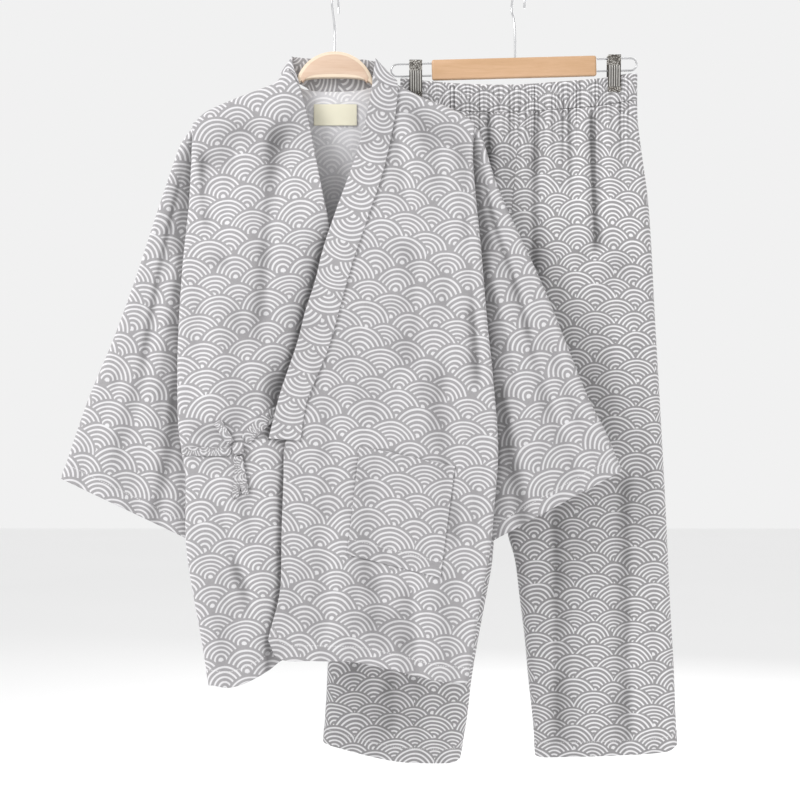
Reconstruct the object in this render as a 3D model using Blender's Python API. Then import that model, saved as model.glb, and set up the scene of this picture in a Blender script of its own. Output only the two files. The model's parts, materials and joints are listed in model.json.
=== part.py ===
"""Kimono pyjama set on two hangers: a tied jacket in front, elastic-waist trousers behind.

Each garment is laid out in its own flat frame, in millimetres: x to the right as seen
from the front, y away from the viewer, z up, with z = 0 where its hook meets the rail.
The two frames lean away from each other, because both hangers share one rail.
"""
from math import cos, exp, hypot, radians, sin, sqrt

import bmesh
import bpy
from mathutils import Vector

MM = 0.001

# How the set hangs
LEAN = 3.5                  # degrees that each garment swings out from the rail
TROUSER_HOOK_X = 239.5      # from one hook to the other along the rail
JACKET_SHAFT_Y = -3.0       # the garments' middle planes, from the rail
TROUSER_SHAFT_Y = 8.0

# Cloth
CLOTH = 1.2
SEAM = 0.3                  # between pieces that are sewn together
SEAM_TURN = 0.8             # half the gap at a seam where both walls turn in
LAID = 0.5                  # between a piece and what it lies on
LAID_REACH = 12.0           # how far round a point a laid piece stays clear
BAND = 2.2                  # the folded collar band
TIE = 1.6

# Jacket form
SHOULDER_HALF = 10.5        # half depth just below the shoulder line
SHOULDER_ROUND = 8.0        # drop over which the shoulder rounds off
BODY_HALF = 26.0
BODY_DROP = 200.0           # drop at which the full depth is reached
BODY_LENGTH = 735.0         # of the panels, along which their rows are placed
FOLD_RADIUS = 6.0           # of the fold that hangs from the hanger's end
VALLEY = 32.0               # depth of the tuck between the front and back folds
OVERLAP = 4.0               # how far the under front lies behind the upper one
SLEEVE_HALF = 9.0
NOSE_HALF = 1.4             # half depth of a sleeve's lower fold, in the side tuck
NOSE_SLOPE = 0.42
UNDERARM_ROW = 9            # the row of the body where the armhole ends

# Trouser form
WAIST_HALF = 7.0
LEG_HALF = 18.0
LEG_ROUND = 16.0
LEG_LENGTH = 872.0
CROTCH_Z = -468.0
GATHERS = 68
GATHER_HEIGHT = 1.5

# Colours
PRINT_GREY = (0.62, 0.62, 0.63)
TROUSER_GREY = (0.56, 0.56, 0.57)
LABEL_CREAM = (0.80, 0.78, 0.66)
PALE_WOOD = (0.80, 0.64, 0.48)
WARM_WOOD = (0.72, 0.48, 0.28)
CHROME = (0.62, 0.62, 0.62)

# Edges of the jacket's pieces, (x, z)
NECK_Z = -117.0             # where the shoulder seam meets the collar
SHOULDER_Z = -130.0         # mean height of the shoulder seam
SHOULDER_RIGHT = [(-62, -104), (-70, -113), (-79, -123), (-109, -135), (-137, -146), (-171, -162),
                  (-186, -176)]
SHOULDER_LEFT = [(66, -117), (81, -124.5), (118, -143), (152, -156), (177, -169), (184, -176)]
BACK_NECK = [(-62, -104), (-56, -119), (-40, -129), (0, -132), (40, -129), (58, -121), (66, -117)]
SIDE_RIGHT = [(-186, -176), (-188, -236), (-190, -290), (-197, -374), (-202, -473), (-201, -573),
              (-196, -610), (-191, -640), (-190, -721), (-183, -775), (-171, -839), (-159, -909)]
SIDE_LEFT = [(184, -176), (182, -223), (185, -271), (191, -338), (199, -436), (207, -517), (213, -606),
             (208, -680), (202, -739), (190, -801), (182, -852), (173, -906)]
FRONT_EDGE_RIGHT = [(-62, -104), (-52, -119), (-43, -138), (-33, -177), (-23, -229), (-15, -270), (-5, -315),
                    (14, -400), (38, -520), (56, -600), (58, -700), (60, -868)]
FRONT_EDGE_LEFT = [(66, -117), (72, -132), (70, -160), (60, -210), (44, -287), (16, -360), (-4, -431),
                   (-16, -467), (-33, -510), (-49, -570), (-62, -600), (-64, -649), (-66, -715), (-67, -780),
                   (-71, -806), (-78, -832), (-83, -851)]
HEM_RIGHT = [(60, -868), (0, -870), (-40, -872), (-67, -877), (-87, -891), (-116, -906), (-139, -912),
             (-159, -909)]
HEM_LEFT = [(-83, -851), (-69, -875), (-21, -878), (32, -880), (86, -891), (126, -901), (144, -904),
            (173, -906)]
HEM_BACK = [(-159, -909), (-139, -908), (-87, -884), (-40, -868), (32, -872), (86, -884), (126, -896),
            (173, -906)]

# Sleeves: the fold along the top, and the underarm in the side tuck
SLEEVE_TOP_RIGHT = [(-183, -177), (-201, -202), (-210, -225), (-236, -305), (-261, -384), (-289, -463),
                    (-321, -542), (-355, -644)]
SLEEVE_UNDER_RIGHT = [(-172, -400), (-176, -430), (-179, -473), (-178, -573), (-171, -640), (-171, -731)]
SLEEVE_TOP_LEFT = [(181, -178), (192, -190), (210, -248), (225, -286), (247, -333), (279, -405), (331, -537),
                   (355, -585), (375, -634)]
SLEEVE_UNDER_LEFT = [(170, -400), (174, -430), (178, -473), (187, -573), (188, -640), (182, -738)]

# Collar band on the upper front: its free edge and its seam, (free x, free z, seam x, seam z)
BAND_FRONT = [
    (-83, -593, -42, -596), (-70, -540, -35, -549), (-58, -503, -21, -513), (-46, -467, -7, -478),
    (-36, -427, 4, -440), (-24, -390, 14, -403), (-13, -345, 27, -358), (5, -291, 45, -304),
    (24, -237, 63, -249), (37, -194, 73, -205), (44, -160, 80, -168), (49, -134, 83, -143),
]
BAND_WIDTH = 38.0
BAND_BEHIND = 2.2           # from the under front to the band inside it
NECK_BAND = [  # from behind the wearer's left shoulder round to the under front: free x, y, z, seam x, y, z
    (48, 13.0, -98, 70, 14.4, -136),
    (37, 13.1, -93.5, 46, 14.7, -138),
    (17, 13.2, -92, 21, 14.8, -138),
    (-4, 13.2, -92, -4, 14.8, -138),
    (-21, 13.0, -92, -25, 14.8, -137),
    (-33, 12.4, -91, -37, 14.2, -126.8),
    (-44, 10.6, -90, -45, 11.4, -123.4),
    (-54, 6.5, -89, -55.5, 6.6, -117),
    (-57, 0.0, -90, -58.5, 0.0, -114.5),
    (-55, -5.0, -100, -58.5, -5.6, -116),
    (-50, -8.6, -114, -58, -8.6, -124),
    (-45, -9.4, -130, -66, -9.3, -139),
]
BAND_UNDER_STOPS = [0.1, 0.16, 0.22, 0.29, 0.36, 0.44, 0.52, 0.6]
# Patch pocket and neck label, corners from the upper one at the wearer's right, (x, z)
POCKET = [(34, -603), (157, -629), (138, -772), (18, -742)]
LABEL = [(-28, -149), (29, -149), (29, -177), (-28, -177)]
LABEL_FROM = -108.0
LABEL_THICK = 1.0
# Ties, knotted on the under front, (x, z)
TIE_SIDE = [(-194, -610), (-170, -610), (-131, -610)]
TIE_FRONT = [(-72, -557), (-92, -573), (-114, -596)]
KNOT = (-122, -606)
KNOT_SIZE = (15.0, 8.0, 16.0)
LOOP_WIDTH = 11.0
LOOP_RISE = 5.2             # between the loop's two layers
TAIL_LONG = [(-121, -616), (-118, -634), (-115, -650), (-112, -665)]
TAIL_SHORT = [(-124, -616), (-122, -634), (-123, -652), (-126, -670)]
# Folds of the jacket, as ridges (+) and hollows (-), on the fronts and on the back
FRONT_FOLDS = [  # x0, z0, x1, z1, width, height
    (94, -160, 108, -290, 15, 2.6),
    (136, -530, 150, -720, 18, -2.6),
    (-74, -150, -98, -470, 16, -2.4),
    (-150, -380, -160, -560, 20, 2.2),
    (-110, -740, -84, -860, 13, 2.4),
    (40, -620, 60, -860, 26, -2.0),
]
BACK_FOLDS = [
    (-96, -190, -118, -560, 20, -2.6),
    (92, -190, 122, -600, 20, -2.6),
    (-50, -520, -64, -860, 22, 2.4),
    (30, -480, 52, -860, 22, 2.4),
]
# Creases of the sleeves: (share of the length at start and end, share of the width, width, height)
SLEEVE_FOLDS = [
    (0.15, 0.75, 0.42, 0.07, 1.8),
    (0.45, 1.0, 0.70, 0.06, -1.6),
]

# Trousers, (x, z)
WAIST_TOP = [(-153, -112), (-100, -118), (-46, -121), (5, -121), (62, -117), (112, -113), (148, -107),
             (163, -106)]
WAIST_DEPTH = 36.0
WAIST_GAP = 0.7
SIDE_SEAM_RIGHT = [(-153, -148.7), (-158, -180), (-168, -250), (-180, -340), (-196, -460), (-214, -600),
                   (-230, -730), (-243, -840), (-251, -896), (-254, -949), (-258, -1007)]
SIDE_SEAM_LEFT = [(163, -142.7), (164, -170), (171, -221), (178, -270), (183, -330), (189, -430), (197, -550),
                  (205, -676), (213, -820), (218, -894), (222, -976), (224, -1010)]
CENTRE = [(5, -157.7), (4, -190), (-4, -280), (-12, -370), (-20, -468)]
INSEAM_RIGHT = [(-20, -468), (-22, -568), (-24, -676), (-28, -758), (-37, -812), (-47, -867), (-56, -922),
                (-62, -976), (-71, -1029)]
INSEAM_LEFT = [(-20, -468), (-16, -568), (-12, -649), (-8, -721), (2, -758), (9, -812), (16, -867),
               (21, -922), (27, -976), (31, -1026)]
LEG_HEM_RIGHT = [(-71, -1029), (-83, -1033), (-113, -1034), (-153, -1032), (-187, -1026), (-228, -1015),
                 (-258, -1007)]
LEG_HEM_LEFT = [(31, -1026), (90, -1025), (144, -1023), (207, -1018), (224, -1010)]
TROUSER_FOLDS = [  # x0, z0, x1, z1, width, height
    (-22, -160, -26, -290, 9, 3.0),
    (28, -160, 26, -560, 10, -3.2),
    (50, -165, 52, -240, 7, 2.4),
    (92, -165, 96, -330, 9, 2.8),
    (126, -165, 132, -280, 9, 2.2),
    (-70, -165, -88, -330, 10, 2.6),
    (-118, -165, -130, -300, 10, 2.4),
    (60, -760, 66, -990, 14, -2.6),
    (158, -760, 160, -990, 14, -2.4),
    (-150, -700, -170, -980, 16, -2.4),
]

# Jacket hanger: a half moon in the neck, with an arm along each shoulder
MOON_RADIUS = 52.0
MOON_TOP = -81.5
HANGER_HALF = 5.0
HANGER_BEVEL = 1.5
HANGER_ARMS = [  # x, top, bottom
    (58, -120.5, -138), (79, -127.5, -144), (118, -146.6, -160), (152, -159.8, -172), (172, -170.5, -181.5),
]
MOON_BASE = [(51.5, -129), (44, -119.5), (30, -116.5)]

# Trouser hanger
BAR = (219.0, 12.0, 27.0)
BAR_CENTRE = (-1.5, -99.0)
BAR_SLOPE = 1.5             # degrees, up towards the wearer's left
WIRE_RADIUS = 1.3
WIRE_RISE = 8.0             # half the height of the wire loop
WIRE_REACH = 54.0           # of a loop beyond the bar
CLIP_X = (-132.5, 131.5)
CLIP_WIDTH = 17.0
CLIP_HEIGHT = 49.0
CLIP_TOP = 12.5             # of a clip, above the middle of the wires
CLIP_GRIP = 6.2             # inner face of a jaw at its lower end
CLIP_HEAD = 8.4             # inner face of a jaw at its upper end
JAW = 1.6

# Hooks
HOOK_WIRE = 1.6
HOOK_BORE = 18.0
HOOK_STEPS = 26
JACKET_HOOK_TURN = -11.0
TROUSER_HOOK_TURN = 22.0


def ease(t):
    """A smooth step from 0 to 1."""
    t = min(1.0, max(0.0, t))
    return t * t * (3 - 2 * t)


def round_off(distance, radius):
    """Height of a quarter circle, as a share, at a distance from its edge."""
    rest = 1 - min(1.0, max(0.0, distance / radius))
    return sqrt(1 - rest * rest)


def line(points):
    """A smooth curve through points; its parameter runs from 0 to 1 by length."""
    reach = [0.0]
    for (x0, z0), (x1, z1) in zip(points, points[1:]):
        reach.append(reach[-1] + hypot(x1 - x0, z1 - z0))

    def slope(i, axis):
        a, b = max(i - 1, 0), min(i + 1, len(points) - 1)
        return (points[b][axis] - points[a][axis]) / (reach[b] - reach[a])

    def at(t):
        s = min(1.0, max(0.0, t)) * reach[-1]
        i = max(k for k in range(len(points) - 1) if reach[k] <= s or k == 0)
        span = reach[i + 1] - reach[i]
        r = (s - reach[i]) / span
        out = []
        for axis in (0, 1):
            a, b = points[i][axis], points[i + 1][axis]
            out.append(a * (1 + 2 * r) * (1 - r) ** 2 + b * r * r * (3 - 2 * r)
                       + span * r * (1 - r) * (slope(i, axis) * (1 - r) - slope(i + 1, axis) * r))
        return out[0], out[1]
    return at


def level(points, z):
    """The x of an edge at a height, along straight runs."""
    if z >= points[0][1]:
        return points[0][0]
    for (x0, z0), (x1, z1) in zip(points, points[1:]):
        if z1 <= z <= z0:
            return x0 + (x1 - x0) * (z - z0) / (z1 - z0)
    return points[-1][0]


def patch(edge, side, top, hem):
    """A cut piece between four edges; u runs from the edge to the side, v from top to hem."""
    def at(u, v):
        place = []
        for k in (0, 1):
            across = (1 - u) * edge(v)[k] + u * side(v)[k]
            down = (1 - v) * top(u)[k] + v * hem(u)[k]
            corners = ((1 - u) * (1 - v) * top(0)[k] + u * (1 - v) * top(1)[k]
                       + (1 - u) * v * hem(0)[k] + u * v * hem(1)[k])
            place.append(across + down - corners)
        return place[0], place[1]
    return at


def raised(folds, x, z):
    """Height of all the folds in a table at one place."""
    total = 0.0
    for x0, z0, x1, z1, width, height in folds:
        length = hypot(x1 - x0, z1 - z0)
        along = ((x - x0) * (x1 - x0) + (z - z0) * (z1 - z0)) / length ** 2
        near = min(1.0, max(0.0, along))
        off = hypot(x - x0 - near * (x1 - x0), z - z0 - near * (z1 - z0))
        total += height * exp(-(off / width) ** 2) * ease(along * 3 + 0.5) * ease((1 - along) * 3 + 0.5)
    return total


def material(name, color, roughness, metallic=0.0):
    found = bpy.data.materials.get(name)
    if found:
        return found
    made = bpy.data.materials.new(name)
    made.use_nodes = True
    shader = made.node_tree.nodes["Principled BSDF"]
    shader.inputs["Base Color"].default_value = (*color, 1.0)
    shader.inputs["Roughness"].default_value = roughness
    shader.inputs["Metallic"].default_value = metallic
    return made


def finish(bm, name, look, parent):
    """Make an object of a closed mesh laid out in millimetres."""
    bmesh.ops.recalc_face_normals(bm, faces=bm.faces)
    for vert in bm.verts:
        vert.co *= MM
    mesh = bpy.data.meshes.new(name)
    bm.to_mesh(mesh)
    bm.free()
    mesh.shade_smooth()
    mesh.set_sharp_from_angle(angle=radians(40))
    mesh.materials.append(look)
    made = bpy.data.objects.new(name, mesh)
    bpy.context.collection.objects.link(made)
    made.parent = parent
    return made


def wall(name, grid, thickness, look, parent, closed=False, flip=False):
    """A cloth wall whose outer face is a grid of points; a place that is None is left out."""
    bm = bmesh.new()
    rows = [[bm.verts.new(p) if p is not None else None for p in row] for row in grid]
    for upper, lower in zip(rows, rows[1:]):
        last = len(upper) if closed else len(upper) - 1
        for i in range(last):
            k = (i + 1) % len(upper)
            corners = [upper[i], lower[i], lower[k], upper[k]]
            if None in corners:
                continue
            a, b, c, d = reversed(corners) if flip else corners
            if (a.co - c.co).length < (b.co - d.co).length:
                split = (a, b, c), (a, c, d)
            else:
                split = (a, b, d), (b, c, d)
            for three in split:
                bm.faces.new(three)
    bm.normal_update()
    faces, verts = list(bm.faces), list(bm.verts)
    rim = [edge for edge in bm.edges if edge.is_boundary]
    inner = {}
    for vert in verts:
        depth = thickness * min(1.3, vert.calc_shell_factor())
        inner[vert] = bm.verts.new(vert.co - vert.normal * depth)
    for face in faces:
        bm.faces.new([inner[v] for v in reversed(face.verts)])
    for edge in rim:
        a, b = edge.verts
        bm.faces.new((a, b, inner[b], inner[a]))
    return finish(bm, name, look, parent)


def half_depth(drop):
    """Half the jacket's depth at a drop below the shoulder line."""
    return (SEAM_TURN + SHOULDER_HALF * round_off(drop, SHOULDER_ROUND)
            + (BODY_HALF - SHOULDER_HALF) * ease((drop - 10) / (BODY_DROP - 10)))


def free_edge_x(z):
    """Where the upper front or its collar band ends over the under front."""
    band = [(row[0], row[1]) for row in reversed(BAND_FRONT)]
    return level(band + FRONT_EDGE_LEFT[10:], z)


def tuck(x, z):
    """How far the under front steps back where the upper one covers it."""
    return OVERLAP * ease((x - free_edge_x(z) + 45) / 45)


def front_y(x, z, drop):
    return -half_depth(drop) - raised(FRONT_FOLDS, x, z) * ease((drop - 20) / 60)


def upper_y(x, z):
    """The upper front's outer face at a place below the neck."""
    return front_y(x, z, NECK_Z - z)


def under_y(x, z):
    """The under front's outer face, well below the shoulder."""
    return front_y(x, z, SHOULDER_Z - z) + tuck(x, z)


def fold_radius(drop):
    return 1.5 + (FOLD_RADIUS - 1.5) * ease(drop / 80)


def side_run(x, half, drop, outward):
    """The fold at the side and the tuck behind it: (x, y) from the flat to the side seam."""
    radius = fold_radius(drop)
    rise = min(radius, 0.7 * (half - SEAM / 2))
    run = []
    for turn in (30, 60, 90, 135):
        a = radians(turn)
        run.append((x - outward * radius * (1 - sin(a)), -half + rise * (1 - cos(a))))
    run.append((x - outward * VALLEY * 0.5, -(half - 2 * radius) * 0.53))
    run.append((x - outward * VALLEY, -SEAM / 2))
    return run


def body_rows():
    """Shares of a body piece's length, close together over the shoulder."""
    drops = [0, 0.8, 2.5, 6, 14, 34, 70, 115, 175, 240, 300, 360, 420, 485, 550, 615, 680, 735]
    return [d / BODY_LENGTH for d in drops]


def lies_on(grid, smooth):
    """The y of what lies clear of a panel at any (x, z), from the panel's facets around it."""
    tiles = []
    for upper, lower in zip(grid, grid[1:]):
        for i in range(len(upper) - 1):
            corners = [upper[i], upper[i + 1], lower[i + 1], lower[i]]
            if None not in corners:
                tiles.append(corners)

    def on_facets(x, z):
        nearest = smooth(x, z)
        for tile in tiles:
            for three in ((0, 1, 2), (0, 2, 3), (0, 1, 3), (1, 2, 3)):
                a, b, c = (tile[k] for k in three)
                whole = (b.x - a.x) * (c.z - a.z) - (c.x - a.x) * (b.z - a.z)
                if abs(whole) < 1e-9:
                    continue
                s = ((x - a.x) * (c.z - a.z) - (c.x - a.x) * (z - a.z)) / whole
                t = ((b.x - a.x) * (z - a.z) - (x - a.x) * (b.z - a.z)) / whole
                if s >= 0 and t >= 0 and s + t <= 1:
                    nearest = min(nearest, a.y + s * (b.y - a.y) + t * (c.y - a.y))
        return nearest

    def at(x, z):
        around = [(0, 0), (LAID_REACH, 0), (-LAID_REACH, 0), (0, LAID_REACH), (0, -LAID_REACH)]
        return min(on_facets(x + dx, z + dz) for dx, dz in around) - LAID
    return at


def front_piece(name, edge, side, top, hem, outward, under, look, parent):
    """One front, from its front edge round the side fold to the side seam; returns its grid."""
    flat = patch(line(edge), line(side), line(top), line(hem))
    shares = [0, 0.12, 0.26, 0.4, 0.54, 0.67, 0.79, 0.9, 1]
    grid = []
    for j, v in enumerate(body_rows()):
        row = []
        x_side, z_side = flat(1, v)
        for u in shares:
            x, z = flat(u, v)
            x -= outward * u * fold_radius(v * BODY_LENGTH)
            drop = line(top)(u)[1] - z
            y = front_y(x, z, drop) if u < 1 else -half_depth(drop)
            if under:
                y += tuck(x, z)
            row.append(Vector((x, y, z)))
        drop = top[-1][1] - z_side
        for k, (x, y) in enumerate(side_run(x_side, half_depth(drop), drop, outward)):
            row.append(Vector((x, y, z_side)) if k < 3 or j >= UNDERARM_ROW else None)
        grid.append(row)
    wall(name, grid, CLOTH, look, parent, flip=outward < 0)
    return grid


def back_piece(look, parent):
    """The back, from side seam to side seam."""
    neck_line = SHOULDER_RIGHT[::-1] + BACK_NECK[1:-1] + SHOULDER_LEFT
    top = line(neck_line)
    flat = patch(line(SIDE_RIGHT), line(SIDE_LEFT), top, line(HEM_BACK))
    count = 18
    grid = []
    for j, v in enumerate(body_rows()):
        row = []
        for k in range(count + 1):
            u = k / count
            x, z = flat(u, v)
            x += (1 - 2 * u) * fold_radius(v * BODY_LENGTH)
            x_top, z_top = top(u)
            in_neck = 22 * ease((62 - abs(x_top - 2)) / 18)
            drop = z_top - z + in_neck
            y = half_depth(drop) + raised(BACK_FOLDS, x, z) * ease((drop - 20) / 60)
            row.append(Vector((x, y, z)))
        for u, outward in ((0, -1), (1, 1)):
            x_side, z_side = flat(u, v)
            drop = SIDE_RIGHT[0][1] - z_side
            run = []
            for n, (x, y) in enumerate(side_run(x_side, half_depth(drop), drop, outward)):
                run.append(Vector((x, -y, z_side)) if n < 3 or j >= UNDERARM_ROW else None)
            row = run[::-1] + row if u == 0 else row + run
        grid.append(row)
    return wall("jacket_back", grid, CLOTH, look, parent, flip=True)


def sleeve(name, top, under, look, parent):
    """A flat tube from the armhole to the cuff, its underarm lying in the side tuck."""
    outer, inner = line(top), line(under)
    spots = [0, 0.012, 0.045, 0.12, 0.28, 0.46, 0.64, 0.8, 0.9, 0.965, 1]
    grid = []
    for j in range(13):
        t = j / 12
        (x0, z0), (x1, z1) = outer(t), inner(t)
        width = hypot(x1 - x0, z1 - z0)
        settle = ease(t / 0.35)
        front = []
        for f in spots:
            drop, nose = f * width, (1 - f) * width
            head = (SHOULDER_HALF - CLOTH - 0.7) * round_off(drop, SHOULDER_ROUND)
            head += (BODY_HALF - SHOULDER_HALF) * ease((drop - 10) / (BODY_DROP - 10))
            head -= (FOLD_RADIUS - 1.5 + 0.3) * ease(drop / 80)
            head *= round_off(nose, 90)
            plain = SLEEVE_HALF * round_off(drop, SLEEVE_HALF)
            x, z = x0 + f * (x1 - x0), z0 + f * (z1 - z0)
            into_tuck = NOSE_HALF + NOSE_SLOPE * max(0.0, abs(x) - abs(level(under, z)))
            above = BODY_HALF * ease((z - under[0][1]) / 70)
            half = min(head + (plain - head) * settle, into_tuck + above)
            swell = 0.0
            for start, end, place, spread, height in SLEEVE_FOLDS:
                fade = ease((t - start) * 8) * ease((end - t) * 8 + 0.6)
                swell += height * fade * exp(-((f - place) / spread) ** 2)
            front.append((x, half, swell, z))
        ring = [Vector((x, -half - swell, z)) for x, half, swell, z in front]
        ring += [Vector((x, half + swell * 0.6, z)) for x, half, swell, z in front[-2:0:-1]]
        grid.append(ring)
    return wall(name, grid, CLOTH, look, parent, closed=True, flip=top[0][0] > 0)


def band_stations(upper):
    """Rows across the collar band, from the upper front's end round the neck."""
    stations = []
    shares = (0, 0.34, 0.67, 1)
    for x0, z0, x1, z1 in BAND_FRONT:
        row = []
        for u in shares:
            x, z = x0 + u * (x1 - x0), z0 + u * (z1 - z0)
            row.append(Vector((x, upper(x, z) - BAND, z)))
        stations.append(row)
    # Over the wearer's left shoulder, from the front of the neck to its back
    edges = []
    for turn in range(0, 181, 26):
        a = radians(turn)
        depth = -min(1, max(-1, 1.5 * cos(a)))
        free = Vector((50 + 4 * sin(a), 12.9 * depth, -117 + 25 * sin(a) - 2 * cos(a)))
        seam = Vector((83 - 3 * ease(turn / 180), 14.4 * depth, -133.6 + 13.4 * sin(a)))
        edges.append((free, seam))
    # Along the back neck, outside the back, then inside the neck on the other side
    edges += [(Vector(row[:3]), Vector(row[3:])) for row in NECK_BAND]
    # Down behind the under front, along its edge
    behind = CLOTH + BAND_BEHIND
    edge = line(FRONT_EDGE_RIGHT)
    for share in BAND_UNDER_STOPS:
        x, z = edge(share)
        ahead = edge(share + 0.01)
        run = Vector((ahead[0] - x, 0, ahead[1] - z)).normalized()
        seam_x, seam_z = x + run.z * BAND_WIDTH, z - run.x * BAND_WIDTH
        edges.append((Vector((x - 2, under_y(x, z) + behind, z)),
                      Vector((seam_x, under_y(seam_x, seam_z) + behind, seam_z))))
    stations += [[free.lerp(seam, u) for u in shares] for free, seam in edges]
    return stations


def collar(upper, look, parent):
    return wall("jacket_collar", band_stations(upper), BAND, look, parent, flip=True)


def laid_piece(name, corners, columns, rows, place, thickness, look, parent, flip=False):
    """A flat piece on a panel: its corners are (x, z), and place gives its outer face."""
    a, b, c, d = corners
    grid = []
    for j in range(rows + 1):
        row = []
        for i in range(columns + 1):
            u, v = i / columns, j / rows
            x = (1 - v) * (a[0] + u * (b[0] - a[0])) + v * (d[0] + u * (c[0] - d[0]))
            z = (1 - v) * (a[1] + u * (b[1] - a[1])) + v * (d[1] + u * (c[1] - d[1]))
            row.append(Vector((x, place(x, z), z)))
        grid.append(row)
    return wall(name, grid, thickness, look, parent, flip=flip)


def ribbon(name, route, width, on, layers, count, look, parent):
    """A flat tie over a panel; layers counts the ties that lie between, and itself."""
    run = line(route)
    grid = []
    for j in range(count + 1):
        t = j / count
        (x0, z0), (x1, z1) = run(max(0, t - 0.02)), run(min(1, t + 0.02))
        x, z = run(t)
        across = Vector((z1 - z0, 0, x0 - x1)).normalized() * width / 2
        row = []
        for k in (-1, 0, 1):
            px, pz = x + k * across.x, z + k * across.z
            row.append(Vector((px, on(px, pz) - layers * TIE - (layers - 1) * LAID, pz)))
        grid.append(row)
    return wall(name, grid, TIE, look, parent, flip=True)


def tie_loop(on, look, parent):
    """The bow's one loop: a strip out from the knot and back over itself."""
    knot, tip = Vector((-131, -599)), Vector((-149, -572))
    out = (tip - knot).normalized()
    reach = (tip - knot).length
    straight = reach * 0.93
    bend = LOOP_RISE / 2
    steps = [(s * straight, 0) for s in (0, 0.33, 0.66, 1)]
    for degrees in (45, 90, 135):
        a = radians(degrees)
        steps.append((straight + 3.0 * sin(a), bend * (1 - cos(a))))
    steps += [(s * straight, LOOP_RISE) for s in (1, 0.66, 0.33, 0)]
    grid = []
    for along, lift in steps:
        row = []
        for k in (-1, 0, 1):
            x = knot.x + out.x * along - out.y * k * LOOP_WIDTH / 2
            z = knot.y + out.y * along + out.x * k * LOOP_WIDTH / 2
            row.append(Vector((x, on(x, z) - lift, z)))
        grid.append(row)
    return wall("tie_loop", grid, 1.4, look, parent, flip=True)


def box(name, size, centre, bevel, look, parent, segments=2):
    """A block with rounded edges."""
    bm = bmesh.new()
    bmesh.ops.create_cube(bm, size=1)
    for vert in bm.verts:
        vert.co = Vector((vert.co.x * size[0], vert.co.y * size[1], vert.co.z * size[2])) + Vector(centre)
    bmesh.ops.bevel(bm, geom=bm.edges, offset=bevel, segments=segments, affect='EDGES', profile=0.5)
    return finish(bm, name, look, parent)


def waistband(look, parent):
    """The elastic casing: a flat ring drawn into even gathers and held at both ends by the clips."""
    top = line(WAIST_TOP)
    x_left, x_right = WAIST_TOP[0][0], WAIST_TOP[-1][0]
    columns = GATHERS * 3
    grid = [[], [], []]
    for k in range(columns):
        turn = k / columns * 2
        front = turn < 1
        share = turn if front else 2 - turn
        x = x_left + (x_right - x_left) * share
        end = min(x - x_left, x_right - x)
        pinch = max(exp(-((x - c) / 16) ** 4) for c in CLIP_X)
        half = (WAIST_HALF - (WAIST_HALF - 4.4) * pinch) * round_off(end + 0.35, 7)
        wave = (-0.6, 1, -0.2)[k % 3] * GATHER_HEIGHT * (1 - 0.6 * pinch) * ease(end / 10)
        z_top = top(share)[1]
        for row, (down, size) in enumerate(((0, 1.0), (0.5, 0.9), (1, 0.55))):
            y = half + wave * size
            grid[row].append(Vector((x, -y if front else y, z_top - down * WAIST_DEPTH)))
    return wall("trousers_waistband", grid, 2.0, look, parent, closed=True)


def leg_half(z):
    return WAIST_HALF + (LEG_HALF - WAIST_HALF) * ease((-155 - z) / 170)


def leg_piece(name, side, inner, hem, face, look, parent):
    """A front or a back of one leg: from the centre seam and inseam out to the side seam."""
    outward = 1 if side[0][0] > 0 else -1
    edge = CENTRE[:-1] + inner
    top = [(x, z - WAIST_DEPTH - WAIST_GAP) for x, z in WAIST_TOP if (x - CENTRE[0][0]) * outward >= 0]
    top.sort(key=lambda place: place[0] * outward)
    flat = patch(line(edge), line(side), line(top), line(hem))
    shares = [0, 0.025, 0.09, 0.22, 0.38, 0.54, 0.7, 0.84, 0.935, 0.98, 1]
    drops = [0, 14, 40, 80, 130, 190, 250, 320, 400, 480, 560, 640, 720, 800, LEG_LENGTH]
    grid = []
    for drop in drops:
        v = drop / LEG_LENGTH
        x0, x1 = flat(0, v)[0], flat(1, v)[0]
        row = []
        for u in shares:
            x, z = flat(u, v)
            full = leg_half(z)
            out = round_off(abs(x1 - x), min(LEG_ROUND, full * 0.9))
            parted = ease((CROTCH_Z + 110 - z) / 110)
            within = 1 - parted + parted * round_off(abs(x - x0), LEG_ROUND)
            fold = raised(TROUSER_FOLDS, x, z) * ease(abs(x1 - x) / 40) * ease(abs(x - x0) / 25)
            y = (full + fold) * out * within + SEAM_TURN
            x_seam = x + outward * SEAM / 2 * (1 - u)
            row.append(Vector((x_seam, y * face, z)))
        grid.append(row)
    return wall(name, grid, CLOTH, look, parent, flip=(outward > 0) != (face < 0))


def wire(name, points, radius, look, parent):
    """A round wire through points."""
    data = bpy.data.curves.new(name, 'CURVE')
    data.dimensions = '3D'
    data.bevel_depth = radius * MM
    data.bevel_resolution = 2
    data.render_resolution_u = 0
    data.use_fill_caps = True
    spline = data.splines.new('POLY')
    spline.points.add(len(points) - 1)
    for point, place in zip(spline.points, points):
        point.co = (*(Vector(place) * MM), 1)
    data.materials.append(look)
    made = bpy.data.objects.new(name, data)
    bpy.context.collection.objects.link(made)
    made.parent = parent
    return made


def hook(name, turn, shaft_y, foot_z, look, parent):
    """A wire hook over the rail: a straight shaft, then a round bow that starts on its own side."""
    radius = HOOK_BORE + HOOK_WIRE
    spin = radians(turn)
    centre = -shaft_y / cos(spin)
    side = 1 if shaft_y > 0 else -1
    route = [(0, foot_z), (0, foot_z * 0.6 - 21), (side, -48)]
    for degrees in range(-45, 199, 27):
        a = radians(degrees)
        route.append((centre + side * radius * cos(a), radius * sin(a) - HOOK_BORE))
    run = line(route)
    points = []
    for k in range(HOOK_STEPS + 1):
        across, z = run(k / HOOK_STEPS)
        points.append((-sin(spin) * across, cos(spin) * across, z))
    return wire(name, points, HOOK_WIRE, look, parent)


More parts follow.
